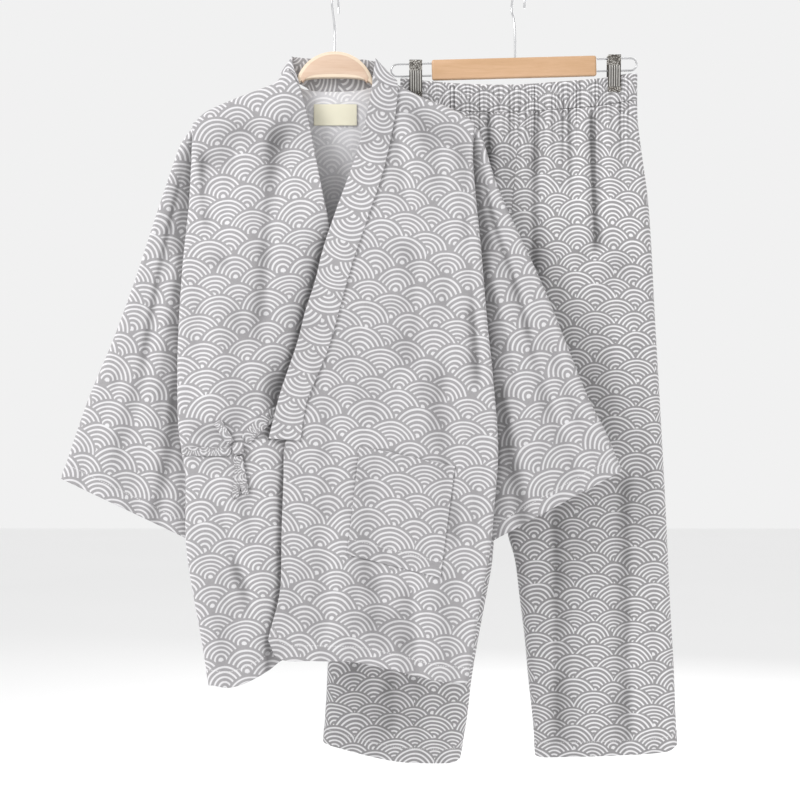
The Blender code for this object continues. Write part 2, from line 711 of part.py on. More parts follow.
def prism(name, outline, axis, start, end, bevel, look, parent):
    """An outline pushed along x or y, with its long edges rounded."""
    bm = bmesh.new()

    def place(a, b, depth):
        return Vector((depth, a, b)) if axis == 'x' else Vector((a, depth, b))
    face = bm.faces.new([bm.verts.new(place(a, b, start)) for a, b in outline])
    pushed = bmesh.ops.extrude_face_region(bm, geom=[face])["geom"]
    shift = place(0, 0, end - start)
    bmesh.ops.translate(bm, vec=shift, verts=[g for g in pushed if isinstance(g, bmesh.types.BMVert)])
    bmesh.ops.recalc_face_normals(bm, faces=bm.faces)
    if bevel:
        depth = 0 if axis == 'x' else 1
        ends = [e for e in bm.edges if abs(e.verts[0].co[depth] - e.verts[1].co[depth]) < 1e-6]
        bmesh.ops.bevel(bm, geom=ends, offset=bevel, segments=2, affect='EDGES', profile=0.5)
    return finish(bm, name, look, parent)


def jacket_hanger(look, parent):
    """The wooden hanger: a half moon that stands in the neck, and arms under the shoulders."""
    centre_z = MOON_TOP - MOON_RADIUS
    outline = [(-x, top) for x, top, _ in reversed(HANGER_ARMS)]
    for degrees in range(-75, 76, 15):
        a = radians(degrees)
        outline.append((MOON_RADIUS * sin(a), centre_z + MOON_RADIUS * cos(a)))
    outline += [(x, top) for x, top, _ in HANGER_ARMS]
    outline += [(x, bottom) for x, _, bottom in reversed(HANGER_ARMS)]
    outline += MOON_BASE
    outline += [(-x, z) for x, z in reversed(MOON_BASE)]
    outline += [(-x, bottom) for x, _, bottom in HANGER_ARMS]
    return prism("jacket_hanger", outline, 'y', -HANGER_HALF, HANGER_HALF, HANGER_BEVEL, look, parent)


def bar_z(x):
    """Height of the middle of the trouser hanger's wires, which slope with the bar."""
    return BAR_CENTRE[1] + 1 + (x - BAR_CENTRE[0]) * sin(radians(BAR_SLOPE))


def trouser_hanger(wood, metal, parent):
    """A wooden bar with a wire loop at each end and a clip on each loop."""
    bar = box("trouser_bar", BAR, (0, 0, 0), 3.0, wood, parent)
    bar.location = (BAR_CENTRE[0] * MM, 0, BAR_CENTRE[1] * MM)
    bar.rotation_euler.y = -radians(BAR_SLOPE)
    for side, outward, clip_x in (("right", -1, CLIP_X[0]), ("left", 1, CLIP_X[1])):
        start = BAR_CENTRE[0] + outward * (BAR[0] / 2 + SEAM)
        reach = BAR_CENTRE[0] + outward * (BAR[0] / 2 + WIRE_REACH - WIRE_RISE)
        half_way = (start + reach) / 2
        points = [(start, 0, bar_z(start) + WIRE_RISE), (half_way, 0, bar_z(half_way) + WIRE_RISE)]
        for degrees in range(90, -91, -20):
            a = radians(degrees)
            points.append((reach + outward * WIRE_RISE * cos(a), 0, bar_z(reach) + WIRE_RISE * sin(a)))
        points += [(half_way, 0, bar_z(half_way) - WIRE_RISE), (start, 0, bar_z(start) - WIRE_RISE)]
        wire("trouser_wire_" + side, points, WIRE_RADIUS, metal, parent)
        clip(side, clip_x, metal, parent)


def clip(side, x, look, parent):
    """Two jaws pressed on the waistband, with a spring block between the two wires."""
    top = bar_z(x) + CLIP_TOP
    bottom = top - CLIP_HEIGHT
    for name, face in (("front", -1), ("back", 1)):
        outline = [(face * CLIP_GRIP, bottom), (face * CLIP_HEAD, top), (face * (CLIP_HEAD + JAW), top),
                   (face * (CLIP_GRIP + JAW + 0.4), bottom + 4), (face * (CLIP_GRIP + JAW + 1.4), bottom)]
        start, end = x - CLIP_WIDTH / 2, x + CLIP_WIDTH / 2
        prism("clip_%s_%s" % (side, name), outline, 'x', start, end, 0, look, parent)
    deep = CLIP_GRIP + (CLIP_HEAD - CLIP_GRIP) * (bar_z(x) - WIRE_RISE - bottom) / CLIP_HEIGHT - SEAM
    tall = 2 * (WIRE_RISE - WIRE_RADIUS - SEAM) - 0.4
    box("clip_%s_spring" % side, (11, 2 * deep, tall), (x, 0, bar_z(x)), 1.0, look, parent, 1)


def swing(name, x, lean, shaft_y):
    """A frame that hangs from the rail at x and leans out by an angle."""
    rail = bpy.data.objects.new(name + "_rail", None)
    rail.location = (x * MM, 0, 0)
    rail.rotation_euler.x = radians(lean)
    frame = bpy.data.objects.new(name + "_plane", None)
    frame.location = (0, shaft_y * MM, 0)
    frame.parent = rail
    for empty in (rail, frame):
        bpy.context.collection.objects.link(empty)
    return frame


def jacket(parent):
    cloth = material("printed_cotton", PRINT_GREY, 0.9)
    label = material("label_cream", LABEL_CREAM, 0.8)
    back_piece(cloth, parent)
    under = front_piece("jacket_front_right", FRONT_EDGE_RIGHT, SIDE_RIGHT, SHOULDER_RIGHT, HEM_RIGHT,
                        -1, True, cloth, parent)
    upper = front_piece("jacket_front_left", FRONT_EDGE_LEFT, SIDE_LEFT, SHOULDER_LEFT, HEM_LEFT,
                        1, False, cloth, parent)
    sleeve("jacket_sleeve_right", SLEEVE_TOP_RIGHT, SLEEVE_UNDER_RIGHT, cloth, parent)
    sleeve("jacket_sleeve_left", SLEEVE_TOP_LEFT, SLEEVE_UNDER_LEFT, cloth, parent)
    on_upper = lies_on(upper, upper_y)
    collar(on_upper, cloth, parent)
    laid_piece("jacket_pocket", POCKET, 6, 6, lambda x, z: on_upper(x, z) - CLOTH, CLOTH, cloth, parent)
    laid_piece("neck_label", LABEL, 3, 2, label_y, LABEL_THICK, label, parent)
    ties(lies_on(under, under_y), cloth, parent)


def label_y(x, z):
    """The label's face, on the inside of the back."""
    return half_depth(LABEL_FROM - z) - CLOTH - LAID - LABEL_THICK


def ties(on, look, parent):
    """A half bow on the under front: two sewn-in ties, a knot, one loop and two free ends."""
    ribbon("tie_side", TIE_SIDE, 11.5, on, 1, 7, look, parent)
    ribbon("tie_front", TIE_FRONT, 17.0, on, 1, 5, look, parent)
    ribbon("tie_tail_long", TAIL_LONG, 9.5, on, 2, 6, look, parent)
    ribbon("tie_tail_short", TAIL_SHORT, 9.5, on, 1, 6, look, parent)
    tie_loop(on, look, parent)
    x, z = KNOT
    box("tie_knot", KNOT_SIZE, (x, on(x, z) - KNOT_SIZE[1] / 2, z), 2.6, look, parent)


def trousers(parent):
    cloth = material("printed_cotton_dark", TROUSER_GREY, 0.9)
    waistband(cloth, parent)
    for face, part in ((-1, "front"), (1, "back")):
        leg_piece("trousers_%s_right" % part, SIDE_SEAM_RIGHT, INSEAM_RIGHT, LEG_HEM_RIGHT, face,
                  cloth, parent)
        leg_piece("trousers_%s_left" % part, SIDE_SEAM_LEFT, INSEAM_LEFT, LEG_HEM_LEFT, face,
                  cloth, parent)


def main():
    for old in list(bpy.data.objects):
        bpy.data.objects.remove(old, do_unlink=True)
    metal = material("polished_steel", CHROME, 0.25, 1.0)
    front = swing("jacket", 0.0, -LEAN, JACKET_SHAFT_Y)
    behind = swing("trousers", TROUSER_HOOK_X, LEAN, TROUSER_SHAFT_Y)
    jacket(front)
    jacket_hanger(material("pale_wood", PALE_WOOD, 0.5), front)
    hook("jacket_hook", JACKET_HOOK_TURN, JACKET_SHAFT_Y, MOON_TOP + SEAM, metal, front)
    trousers(behind)
    trouser_hanger(material("warm_wood", WARM_WOOD, 0.5), metal, behind)
    bar_top = BAR_CENTRE[1] + BAR[2] / 2 + SEAM
    hook("trouser_hook", TROUSER_HOOK_TURN, TROUSER_SHAFT_Y, bar_top, metal, behind)


main()
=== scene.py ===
# %% [markdown]
# # A kimono pyjama set on two hangers
# A wrap jacket with a tie hangs on a small wooden hanger, and wide trousers hang on a bar
# with two clips. The measured model of both comes in first, as a fixed frame. Each cloth
# panel and each fitting is then made at its own place in that frame, so that nothing has
# to be moved or fitted afterwards.

import json
from math import atan2, cos, exp, hypot, pi, radians, sin, sqrt

import bmesh
import bpy
from mathutils import Matrix, Vector, noise

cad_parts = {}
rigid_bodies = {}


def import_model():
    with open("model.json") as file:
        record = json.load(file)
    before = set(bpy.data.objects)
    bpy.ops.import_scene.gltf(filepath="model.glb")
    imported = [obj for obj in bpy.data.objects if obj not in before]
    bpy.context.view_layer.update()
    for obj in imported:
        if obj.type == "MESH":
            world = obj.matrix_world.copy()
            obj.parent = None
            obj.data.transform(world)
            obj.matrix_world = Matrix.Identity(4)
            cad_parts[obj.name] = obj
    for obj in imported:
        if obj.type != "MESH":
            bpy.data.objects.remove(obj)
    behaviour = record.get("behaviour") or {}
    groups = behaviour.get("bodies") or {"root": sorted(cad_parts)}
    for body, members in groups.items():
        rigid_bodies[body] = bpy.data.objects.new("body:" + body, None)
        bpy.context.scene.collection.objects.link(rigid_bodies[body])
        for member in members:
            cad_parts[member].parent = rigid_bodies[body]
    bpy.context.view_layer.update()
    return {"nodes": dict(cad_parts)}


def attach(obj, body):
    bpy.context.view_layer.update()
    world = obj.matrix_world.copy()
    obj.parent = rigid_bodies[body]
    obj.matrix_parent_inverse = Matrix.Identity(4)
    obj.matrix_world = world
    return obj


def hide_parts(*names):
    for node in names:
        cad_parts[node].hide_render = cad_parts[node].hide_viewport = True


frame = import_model()
MM = 0.001
print("Solids in the frame:", len(frame["nodes"]))

# %% [markdown]
# ## Camera, floor and light
# The set was photographed straight on, from a little over two metres, so a long lens
# keeps the hems nearly level. The camera could be turned until it looks right, but a
# measured place is surer. The floor lies well below the hems, and a pale sky gives the
# even light of a studio tent.

# %% The camera
scene = bpy.context.scene
scene.view_settings.view_transform = 'Standard'
lens = bpy.data.cameras.new("front_camera")
lens.lens = 81.5
lens.sensor_width = 36.0
camera = bpy.data.objects.new("front_camera", lens)
camera.location = (0.0861, -2.400, -0.5406)
camera.rotation_euler = (radians(90), 0, 0)
scene.collection.objects.link(camera)
scene.camera = camera
print("Camera lens in mm:", lens.lens)

# %% The floor
FLOOR_Z = -1.35
FLOOR_HALF = 9.0
bm = bmesh.new()
bmesh.ops.create_grid(bm, x_segments=2, y_segments=2, size=FLOOR_HALF)
bmesh.ops.translate(bm, vec=(0, 0, FLOOR_Z), verts=bm.verts)
floor_mesh = bpy.data.meshes.new("floor")
bm.to_mesh(floor_mesh)
bm.free()
floor = bpy.data.objects.new("floor", floor_mesh)
scene.collection.objects.link(floor)
print("Floor height in m:", FLOOR_Z)

# %% The lights
CENTRE = Vector((0.08, 0.0, -0.5))


def soft_light(name, place, size, power):
    """A square area light that looks at the middle of the set."""
    data = bpy.data.lights.new(name, 'AREA')
    data.size = size
    data.energy = power
    lamp = bpy.data.objects.new(name, data)
    lamp.location = place
    lamp.rotation_euler = (CENTRE - Vector(place)).to_track_quat('-Z', 'Y').to_euler()
    scene.collection.objects.link(lamp)


soft_light("key_light", (-1.9, -1.6, 1.0), 1.0, 44.0)
soft_light("fill_light", (2.4, -2.4, 0.1), 2.2, 7.0)
soft_light("back_light", (0.8, 2.6, 0.6), 1.8, 24.0)
sky = bpy.data.worlds.new("studio")
sky.use_nodes = True
sky.node_tree.nodes["Background"].inputs["Color"].default_value = (1.0, 1.0, 1.0, 1.0)
sky.node_tree.nodes["Background"].inputs["Strength"].default_value = 0.88
scene.world = sky

# %% [markdown]
# ## How the cloth is drawn
# A pattern cutter draws a panel by its outline, so the panels here begin as outlines too:
# smooth curves through a few measured points, in millimetres, with x to the right, y away
# from the viewer and z up. A patch fills the space between four such curves. Modelling
# each panel by hand in Edit Mode would work as well, but outlines are easier to correct.


# %% Curves through measured points
def ease(t):
    """A smooth step from 0 to 1."""
    t = min(1.0, max(0.0, t))
    return t * t * (3 - 2 * t)


def round_off(distance, radius):
    """Height of a quarter circle, as a share, at a distance from its edge."""
    rest = 1 - min(1.0, max(0.0, distance / radius))
    return sqrt(1 - rest * rest)


def line(points):
    """A smooth curve through points; its parameter runs from 0 to 1 by length."""
    reach = [0.0]
    for a, b in zip(points, points[1:]):
        reach.append(reach[-1] + hypot(b[0] - a[0], b[1] - a[1]))
    slopes = []
    for i in range(len(points)):
        a, b = max(i - 1, 0), min(i + 1, len(points) - 1)
        length = reach[b] - reach[a]
        slopes.append([(points[b][k] - points[a][k]) / length for k in (0, 1)])

    def at(t):
        s = min(1.0, max(0.0, t)) * reach[-1]
        i = 0
        while i < len(points) - 2 and reach[i + 1] <= s:
            i += 1
        span = reach[i + 1] - reach[i]
        r = (s - reach[i]) / span
        start, end = (1 + 2 * r) * (1 - r) ** 2, r * r * (3 - 2 * r)
        pull = span * r * (1 - r)
        return tuple(points[i][k] * start + points[i + 1][k] * end
                     + pull * (slopes[i][k] * (1 - r) - slopes[i + 1][k] * r) for k in (0, 1))
    return at


def level(points, z):
    """The x of an edge at a height, along straight runs."""
    if z >= points[0][1]:
        return points[0][0]
    for (x0, z0), (x1, z1) in zip(points, points[1:]):
        if z1 <= z <= z0:
            return x0 + (x1 - x0) * (z - z0) / (z1 - z0)
    return points[-1][0]


middle_of_a_curve = line([(0, 0), (10, 4), (20, 0)])(0.5)
print("Middle of a test curve:", middle_of_a_curve)


# %% A panel between four curves
def patch(edge, side, top, hem):
    """A cut piece between four edges; u runs from the edge to the side, v from top to hem."""
    corners = [top(0), top(1), hem(0), hem(1)]

    def at(u, v):
        e, s, t, h = edge(v), side(v), top(u), hem(u)
        weights = [(1 - u) * (1 - v), u * (1 - v), (1 - u) * v, u * v]
        return tuple((1 - u) * e[k] + u * s[k] + (1 - v) * t[k] + v * h[k]
                     - sum(w * corner[k] for w, corner in zip(weights, corners)) for k in (0, 1))
    return at


def shares(count, length=1.0, fine=()):
    """Even steps from 0 to 1, with more of them at the given distances, along a length."""
    return sorted({k / count for k in range(count + 1)} | {d / length for d in fine})


print("Steps with a finer end:", len(shares(10, 100.0, (98, 99))))

# %% [markdown]
# ## Folds
# Hanging cloth is never flat: it has a few long folds that start where it is held, and
# a shallow unevenness everywhere. Cloth simulation finds such folds by itself, but not the
# ones in a photograph, so each main fold is listed as a soft ridge or trough with
# its own width on either side. A little smooth noise gives the unevenness between them.


# %% Ridges and troughs
def raised(folds, x, z):
    """Height of all the folds in a table at one place."""
    total = 0.0
    for x0, z0, x1, z1, left, right, height in folds:
        dx, dz = x1 - x0, z1 - z0
        length = hypot(dx, dz)
        along = ((x - x0) * dx + (z - z0) * dz) / length ** 2
        if along < -0.6 or along > 1.6:
            continue
        near = min(1.0, max(0.0, along))
        off = hypot(x - x0 - near * dx, z - z0 - near * dz)
        on_left = ((x - x0) * dz - (z - z0) * dx) * (1 if dz > 0 else -1) < 0
        width = left if on_left else right
        if off < 3 * width:
            total += height * exp(-(off / width) ** 2) * ease(along * 3 + 0.5) * ease((1 - along) * 3 + 0.5)
    return total


def uneven(x, z, seed):
    """The shallow unevenness of hanging cloth: long soft waves and small crinkles."""
    waves = noise.noise(Vector((x / 46, seed, z / 150)))
    crinkles = noise.noise(Vector((x / 15, seed + 7.0, z / 24)))
    return 1.7 * waves + 0.35 * crinkles


print("Unevenness at one point in mm:", round(uneven(40, -300, 1.0), 2))


# %% The step and pucker of a stitched hem
HEM_DEPTH = 20.0
HEM_FINE = (1.2, 3, 10, 16, 18.4, 19.4, 20.4, 21.6, 24)  # mm from a hem to a panel's extra rows


def stitched(distance, along):
    """How far the cloth stands out near a hem whose stitching is HEM_DEPTH from the edge."""
    double = 0.45 * (1 - ease((distance - HEM_DEPTH + 1) / 2))
    groove = 0.55 * exp(-((distance - HEM_DEPTH) / 1.2) ** 2)
    pucker = 0.35 * noise.noise(Vector((along / 6, 3.0, distance / 30))) * exp(-abs(distance - HEM_DEPTH) / 9)
    return double - groove + pucker


print("Step at the stitching in mm:", round(stitched(20, 0), 2))


# %% [markdown]
# ## From a grid to a panel
# A panel starts as Blender's flat grid, and each of its points is moved to its place in
# space. While the grid is laid out, each point's place on the flat cut is kept as a UV
# map in metres: that makes the print run over the folds as it does on real cloth. The
# distance from the hem and the edges is kept too, for the stitching in the material. So is
# the depth of each point in its fold, with a painted shadow added on the sleeves beside the
# body, by which the material paints shade into the troughs.


# %% A grid of points at their places
def grid_panel(place, across, down):
    """A grid whose point at shares (u, v) of the panel goes to place(u, v)."""
    bm = bmesh.new()
    bm.verts.layers.float_vector.new("from_edges")
    bm.verts.layers.float.new("hollow")
    bm.loops.layers.uv.new("cut")
    bmesh.ops.create_grid(bm, x_segments=len(across) - 1, y_segments=len(down) - 1, size=1.0)
    rows = [[None] * len(across) for _ in down]
    for vert in bm.verts:
        i = round((vert.co.x + 1) / 2 * (len(across) - 1))
        j = round((1 - vert.co.y) / 2 * (len(down) - 1))
        rows[j][i] = vert
    for row, v in zip(rows, down):
        for vert, u in zip(row, across):
            vert.co = place(u, v)
    return bm, rows


def face_out(bm, outward):
    """Turn the faces so that they look along outward(point)."""
    bm.normal_update()
    if sum(face.normal.dot(outward(face.calc_center_median())) for face in bm.faces) < 0:
        bmesh.ops.reverse_faces(bm, faces=bm.faces)
        bm.normal_update()


test_panel, _ = grid_panel(lambda u, v: Vector((u, 0, -v)), shares(4), shares(3))
print("Points in a 4 by 3 panel:", len(test_panel.verts))
test_panel.free()


# %% The flat cut as a UV map, the hollows, and the distances from the edges
# Points each way to compare with, and how many mm down a trough takes its darkest painted shade
HOLLOWS = ((4, 2.4), (12, 8.0))


def lay_flat(rows, start, grain, fullness=None):
    """Each point's place on the cut: along its row from a column, and its height, turned by the grain."""
    flat = {}
    turn_cos, turn_sin = cos(radians(grain)), sin(radians(grain))
    for j, row in enumerate(rows):
        full = fullness[j] if fullness else 1.0
        run = [0.0]
        for a, b in zip(row, row[1:]):
            run.append(run[-1] + full * hypot(b.co.x - a.co.x, b.co.y - a.co.y))
        sign = 1 if row[start + 1].co.x > row[start].co.x else -1
        for vert, along in zip(row, run):
            across = row[start].co.x + sign * (along - run[start])
            up = vert.co.z
            flat[vert] = (across * turn_cos + up * turn_sin, up * turn_cos - across * turn_sin)
    return flat


def distances(lines):
    """How far each point is from the end of its line of points."""
    found = {}
    for points in lines:
        reach = 0.0
        found[points[-1]] = reach
        for a, b in zip(points[-2::-1], points[:0:-1]):
            reach += (a.co - b.co).length
            found[a] = reach
    return found


def means(points, reach):
    """Each point's mean with its neighbours along the line."""
    padded = [points[0]] * reach + points + [points[-1]] * reach
    total = sum(padded[:2 * reach], Vector())
    found = []
    for before, after in zip([Vector()] + padded, padded[2 * reach:]):
        total = total + after - before
        found.append(total / (2 * reach + 1))
    return found


def record_hollows(bm, rows, shade):
    """Keep how deep each point lies in a fold, from -1 on a ridge to 1 in a trough, with any painted shadow
    from shade added; the material paints shade by it.
    """
    hollow = bm.verts.layers.float["hollow"]
    for reach, deepest in HOLLOWS:
        along = [means([vert.co.copy() for vert in row], reach) for row in rows]
        both = [means(list(column), reach) for column in zip(*along)]
        for j, row in enumerate(rows):
            for i, vert in enumerate(row):
                vert[hollow] += (both[i][j] - vert.co).dot(vert.normal) / deepest
    for vert in bm.verts:
        vert[hollow] = min(1.0, max(-1.0, vert[hollow] + (shade(vert.co) if shade else 0.0)))


def record_cut(bm, rows, flat, shade=None):
    """Keep the cut as a UV map, and the distances from hem, first edge and top as an attribute."""
    record_hollows(bm, rows, shade)
    columns = [list(column) for column in zip(*rows)]
    hem = distances(columns)
    top = distances([column[::-1] for column in columns])
    edge = distances([row[::-1] for row in rows])
    from_edges = bm.verts.layers.float_vector["from_edges"]
    for vert in bm.verts:
        vert[from_edges] = Vector((hem[vert], edge[vert], top[vert])) * MM
    cut = bm.loops.layers.uv["cut"]
    for face in bm.faces:
        for loop in face.loops:
            loop[cut].uv = Vector(flat[loop.vert]) * MM
    return hem, edge, top


print("Each panel keeps its cut, its distances from hem, edge and top, and its hollows")

# %% [markdown]
# ## Two garments, two planes
# Both hangers share one rail, so the garments swing a few degrees apart. Each is drawn in
# its own upright plane, and one matrix then carries its points into the frame. The matrix
# goes into the mesh, and the finished object stays at the origin, unturned and unscaled.

# %% Where the garments hang
LEAN_DEGREES = 3.5
LEAN = radians(LEAN_DEGREES)
JACKET_PLANE = Matrix.Rotation(-LEAN, 4, 'X') @ Matrix.Translation((0, -3 * MM, 0))
TROUSER_PLANE = (Matrix.Translation((239.5 * MM, 0, 0)) @ Matrix.Rotation(LEAN, 4, 'X')
                 @ Matrix.Translation((0, 8 * MM, 0)))


def piece_name(name):
    """A name of its own for a piece that stands for the solid of the same name."""
    return name + "_dressed" if name in frame["nodes"] else name


def hang(bm, name, plane, looks, nodes):
    """Make an object of a mesh in millimetres, in its garment's plane, and tie it to the frame."""
    bmesh.ops.scale(bm, vec=(MM, MM, MM), verts=bm.verts)
    bmesh.ops.transform(bm, matrix=plane, verts=bm.verts)
    mesh = bpy.data.meshes.new(name)
    bm.to_mesh(mesh)
    bm.free()
    mesh.shade_smooth()
    for look in looks:
        mesh.materials.append(look)
    piece = bpy.data.objects.new(piece_name(name), mesh)
    scene.collection.objects.link(piece)
    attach(piece, "root")
    if nodes:
        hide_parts(*nodes)
    return piece


def thicken(piece, thickness, rounded=0.0):
    """Give a sheet its thickness inwards; its inner side takes the second material."""
    wall = piece.modifiers.new("thickness", 'SOLIDIFY')
    wall.thickness = thickness * MM
    wall.offset = -1.0
    wall.material_offset = 1
    wall.use_even_offset = False
    if rounded:
        edge = piece.modifiers.new("rounded_edge", 'BEVEL')
        edge.width = rounded * MM
        edge.segments = 2
        edge.limit_method = 'ANGLE'
        edge.angle_limit = radians(60)
    return piece


print("The garments lean apart by", LEAN_DEGREES, "degrees each")

# %% [markdown]
# ## Nodes for the materials
# A material here is a chain of small sums. Two helpers keep it readable: one adds a Math
# node, and one adds any other node, and both link whatever they are given. The same chain
# could be drawn in the Shader Editor, where it would fill a whole screen.


# %% Helpers for nodes
def link_in(tree, socket, value):
    """Link an output to a socket, or set the socket to a plain value."""
    if isinstance(value, bpy.types.NodeSocket):
        tree.links.new(value, socket)
    else:
        socket.default_value = value


def calc(tree, operation, *values):
    """A Math node's result."""
    step = tree.nodes.new("ShaderNodeMath")
    step.operation = operation
    for socket, value in zip(step.inputs, values):
        link_in(tree, socket, value)
    return step.outputs[0]


def node(tree, kind, settings=None, **inputs):
    """Any other node; the inputs are given by name, with _ for a space."""
    made = tree.nodes.new(kind)
    for key, value in (settings or {}).items():
        setattr(made, key, value)
    for key, value in inputs.items():
        link_in(tree, made.inputs[key.replace("_", " ")], value)
    return made


def smooth_step(tree, value, start, end):
    """0 before start and 1 after end, softly between; start may be above end."""
    made = node(tree, "ShaderNodeMapRange", {"interpolation_type": 'SMOOTHSTEP'}, Value=value)
    made.inputs["From Min"].default_value = start
    made.inputs["From Max"].default_value = end
    return made.outputs["Result"]


def mix_colour(tree, factor, a, b):
    """One colour over another."""
    made = tree.nodes.new("ShaderNodeMix")
    made.data_type = 'RGBA'
    for index, value in ((0, factor), (6, a), (7, b)):
        link_in(tree, made.inputs[index], value)
    return made.outputs[2]


def new_material(name, roughness):
    """A material, its node tree and its shader."""
    made = bpy.data.materials.new(name)
    made.use_nodes = True
    shader = made.node_tree.nodes["Principled BSDF"]
    shader.inputs["Roughness"].default_value = roughness
    return made, made.node_tree, shader


def paint(tree, shader, factor, a, b):
    """The shader's colour: a where the factor is 0, b where it is 1."""
    tree.links.new(mix_colour(tree, factor, a, b), shader.inputs["Base Color"])


print("Helpers for nodes: calc, node, smooth_step, mix_colour, paint")

# %% [markdown]
# ## The wave print
# Seigaiha, the old pattern of overlapping waves, is rows of fans. Each fan is a set of
# arcs round one centre, each row is shifted by half a fan, and a lower row lies over the
# one above it. The material works out which fan a point of the cut belongs to, how far it
# is from that fan's centre, and whether an arc is there. A little noise bends the cut, and
# each fan has its own spacing, because the print is drawn by hand.

# %% One row of fans
# All sizes are shares of the pitch, which is the width of one fan in its row
MARGIN = 0.072              # of plain cloth round a fan, which covers the fans above it
ARC_HALF = 0.205            # half of an arc's width, as a share of the step
DOT_RADIUS = 0.034
FAN_BEND = 0.10


def either(tree, factor, a, b):
    """b where the factor is 1, otherwise a."""
    return calc(tree, 'ADD', a, calc(tree, 'MULTIPLY', factor, calc(tree, 'SUBTRACT', b, a)))


def fan_row(tree, across, up, row, row_step, arc_step, small_arc):
    """For the nearest fan of a row: the distance from its centre, the height above it, and its outer arc."""
    odd = calc(tree, 'FLOORED_MODULO', row, 2.0)
    shifted = calc(tree, 'SUBTRACT', across, calc(tree, 'MULTIPLY', odd, 0.5))
    column = calc(tree, 'ROUND', shifted)
    which = node(tree, "ShaderNodeCombineXYZ", X=column, Y=row).outputs[0]
    chance = node(tree, "ShaderNodeTexWhiteNoise", {"noise_dimensions": '3D'}, Vector=which)
    own, colour = chance.outputs["Value"], chance.outputs["Color"]
    numbers = node(tree, "ShaderNodeSeparateXYZ", Vector=colour)
    slip = calc(tree, 'MULTIPLY_ADD', numbers.outputs[0], 0.06, -0.03)
    aside = calc(tree, 'ADD', calc(tree, 'SUBTRACT', shifted, column), slip)
    above = calc(tree, 'SUBTRACT', up, calc(tree, 'MULTIPLY', row, row_step))
    taller = calc(tree, 'MULTIPLY', above, calc(tree, 'MULTIPLY_ADD', numbers.outputs[1], 0.20, 0.90))
    apart = calc(tree, 'SQRT', calc(tree, 'ADD', calc(tree, 'MULTIPLY', aside, aside),
                                    calc(tree, 'MULTIPLY', taller, taller)))
    big = calc(tree, 'LESS_THAN', own, 0.5)
    outer = calc(tree, 'MULTIPLY_ADD', big, arc_step, small_arc)
    return apart, above, outer


print("Plain cloth round a fan:", MARGIN, "of its width")


# %% The arcs of a fan
def wave_print(tree, pitch, row_step, arc_step, small_arc):
    """1 on the white arcs of the print and 0 between them."""
    cut = node(tree, "ShaderNodeUVMap", {"uv_map": "cut"}).outputs[0]
    scaled = node(tree, "ShaderNodeVectorMath", {"operation": 'SCALE'}, Vector=cut, Scale=1 / pitch)
    bend = node(tree, "ShaderNodeTexNoise", Vector=scaled.outputs[0], Scale=1.3, Detail=0.6)
    centred = node(tree, "ShaderNodeVectorMath", {"operation": 'SUBTRACT'}, Vector=bend.outputs["Color"])
    centred.inputs[1].default_value = (0.5, 0.5, 0.5)
    slight = node(tree, "ShaderNodeVectorMath", {"operation": 'SCALE'}, Vector=centred.outputs[0],
                  Scale=FAN_BEND)
    bent = node(tree, "ShaderNodeVectorMath", {"operation": 'ADD'}, Vector=scaled.outputs[0])
    tree.links.new(slight.outputs[0], bent.inputs[1])
    parts = node(tree, "ShaderNodeSeparateXYZ", Vector=bent.outputs[0])
    across, up = parts.outputs[0], parts.outputs[1]
    reach = small_arc + arc_step + MARGIN
    lowest = calc(tree, 'CEIL', calc(tree, 'DIVIDE', calc(tree, 'SUBTRACT', up, reach), row_step))
    rows = [fan_row(tree, across, up, calc(tree, 'ADD', lowest, float(k)), row_step, arc_step, small_arc)
            for k in range(3)]
    apart, above, outer = rows[2]
    for lower in (rows[1], rows[0]):
        covers = calc(tree, 'LESS_THAN', lower[0], calc(tree, 'ADD', lower[2], MARGIN))
        apart, above, outer = (either(tree, covers, a, b) for a, b in zip((apart, above, outer), lower))
    steps = calc(tree, 'DIVIDE', calc(tree, 'SUBTRACT', outer, apart), arc_step)
    from_arc = calc(tree, 'ABSOLUTE', calc(tree, 'SUBTRACT', calc(tree, 'FRACT', calc(
        tree, 'ADD', steps, 0.5)), 0.5))
    arcs = smooth_step(tree, from_arc, ARC_HALF + 0.07, ARC_HALF - 0.07)
    inside = calc(tree, 'GREATER_THAN', steps, -0.5)
    upper_half = smooth_step(tree, above, -0.035, -0.01)
    arcs = calc(tree, 'MULTIPLY', calc(tree, 'MULTIPLY', arcs, inside), upper_half)
    dot = smooth_step(tree, apart, DOT_RADIUS + 0.012, DOT_RADIUS - 0.012)
    return calc(tree, 'MAXIMUM', arcs, dot), cut


print("The print is worked out from three rows of fans at each point")

# %% [markdown]
# ## Printed double gauze
# The cloth is two thin layers of cotton, woven loosely and caught together here and
# there, so it is matt and slightly crinkled. Its grey is printed and never quite even. The
# bump holds the threads, the crinkle and the stitches, and the wrong side shows the print
# only as a shadow. The troughs of the folds are darkened with painted shade, beyond what the
# light alone would make them. Woven thread by thread the cloth would be far too heavy.

# %% The surface of the gauze
THREAD = 0.00085            # metres from thread to thread
CRINKLE = 150.0             # crinkles to the metre
STITCH = 0.0032             # metres from stitch to stitch


def gauze_height(tree, cut):
    """Threads across and along, and the crinkle between the places where the layers are caught."""
    scaled = node(tree, "ShaderNodeVectorMath", {"operation": 'SCALE'}, Vector=cut, Scale=2 * pi / THREAD)
    parts = node(tree, "ShaderNodeSeparateXYZ", Vector=scaled.outputs[0])
    across, down = (calc(tree, 'SINE', parts.outputs[axis]) for axis in (0, 1))
    threads = calc(tree, 'MULTIPLY', across, down)
    stretched = node(tree, "ShaderNodeMapping", Vector=cut)
    stretched.inputs["Scale"].default_value = (1.0, 0.45, 1.0)
    crinkle = node(tree, "ShaderNodeTexNoise", Vector=stretched.outputs[0], Scale=CRINKLE, Detail=3.0)
    return calc(tree, 'MULTIPLY_ADD', crinkle.outputs["Fac"], 1.0, calc(tree, 'MULTIPLY', threads, 0.10))


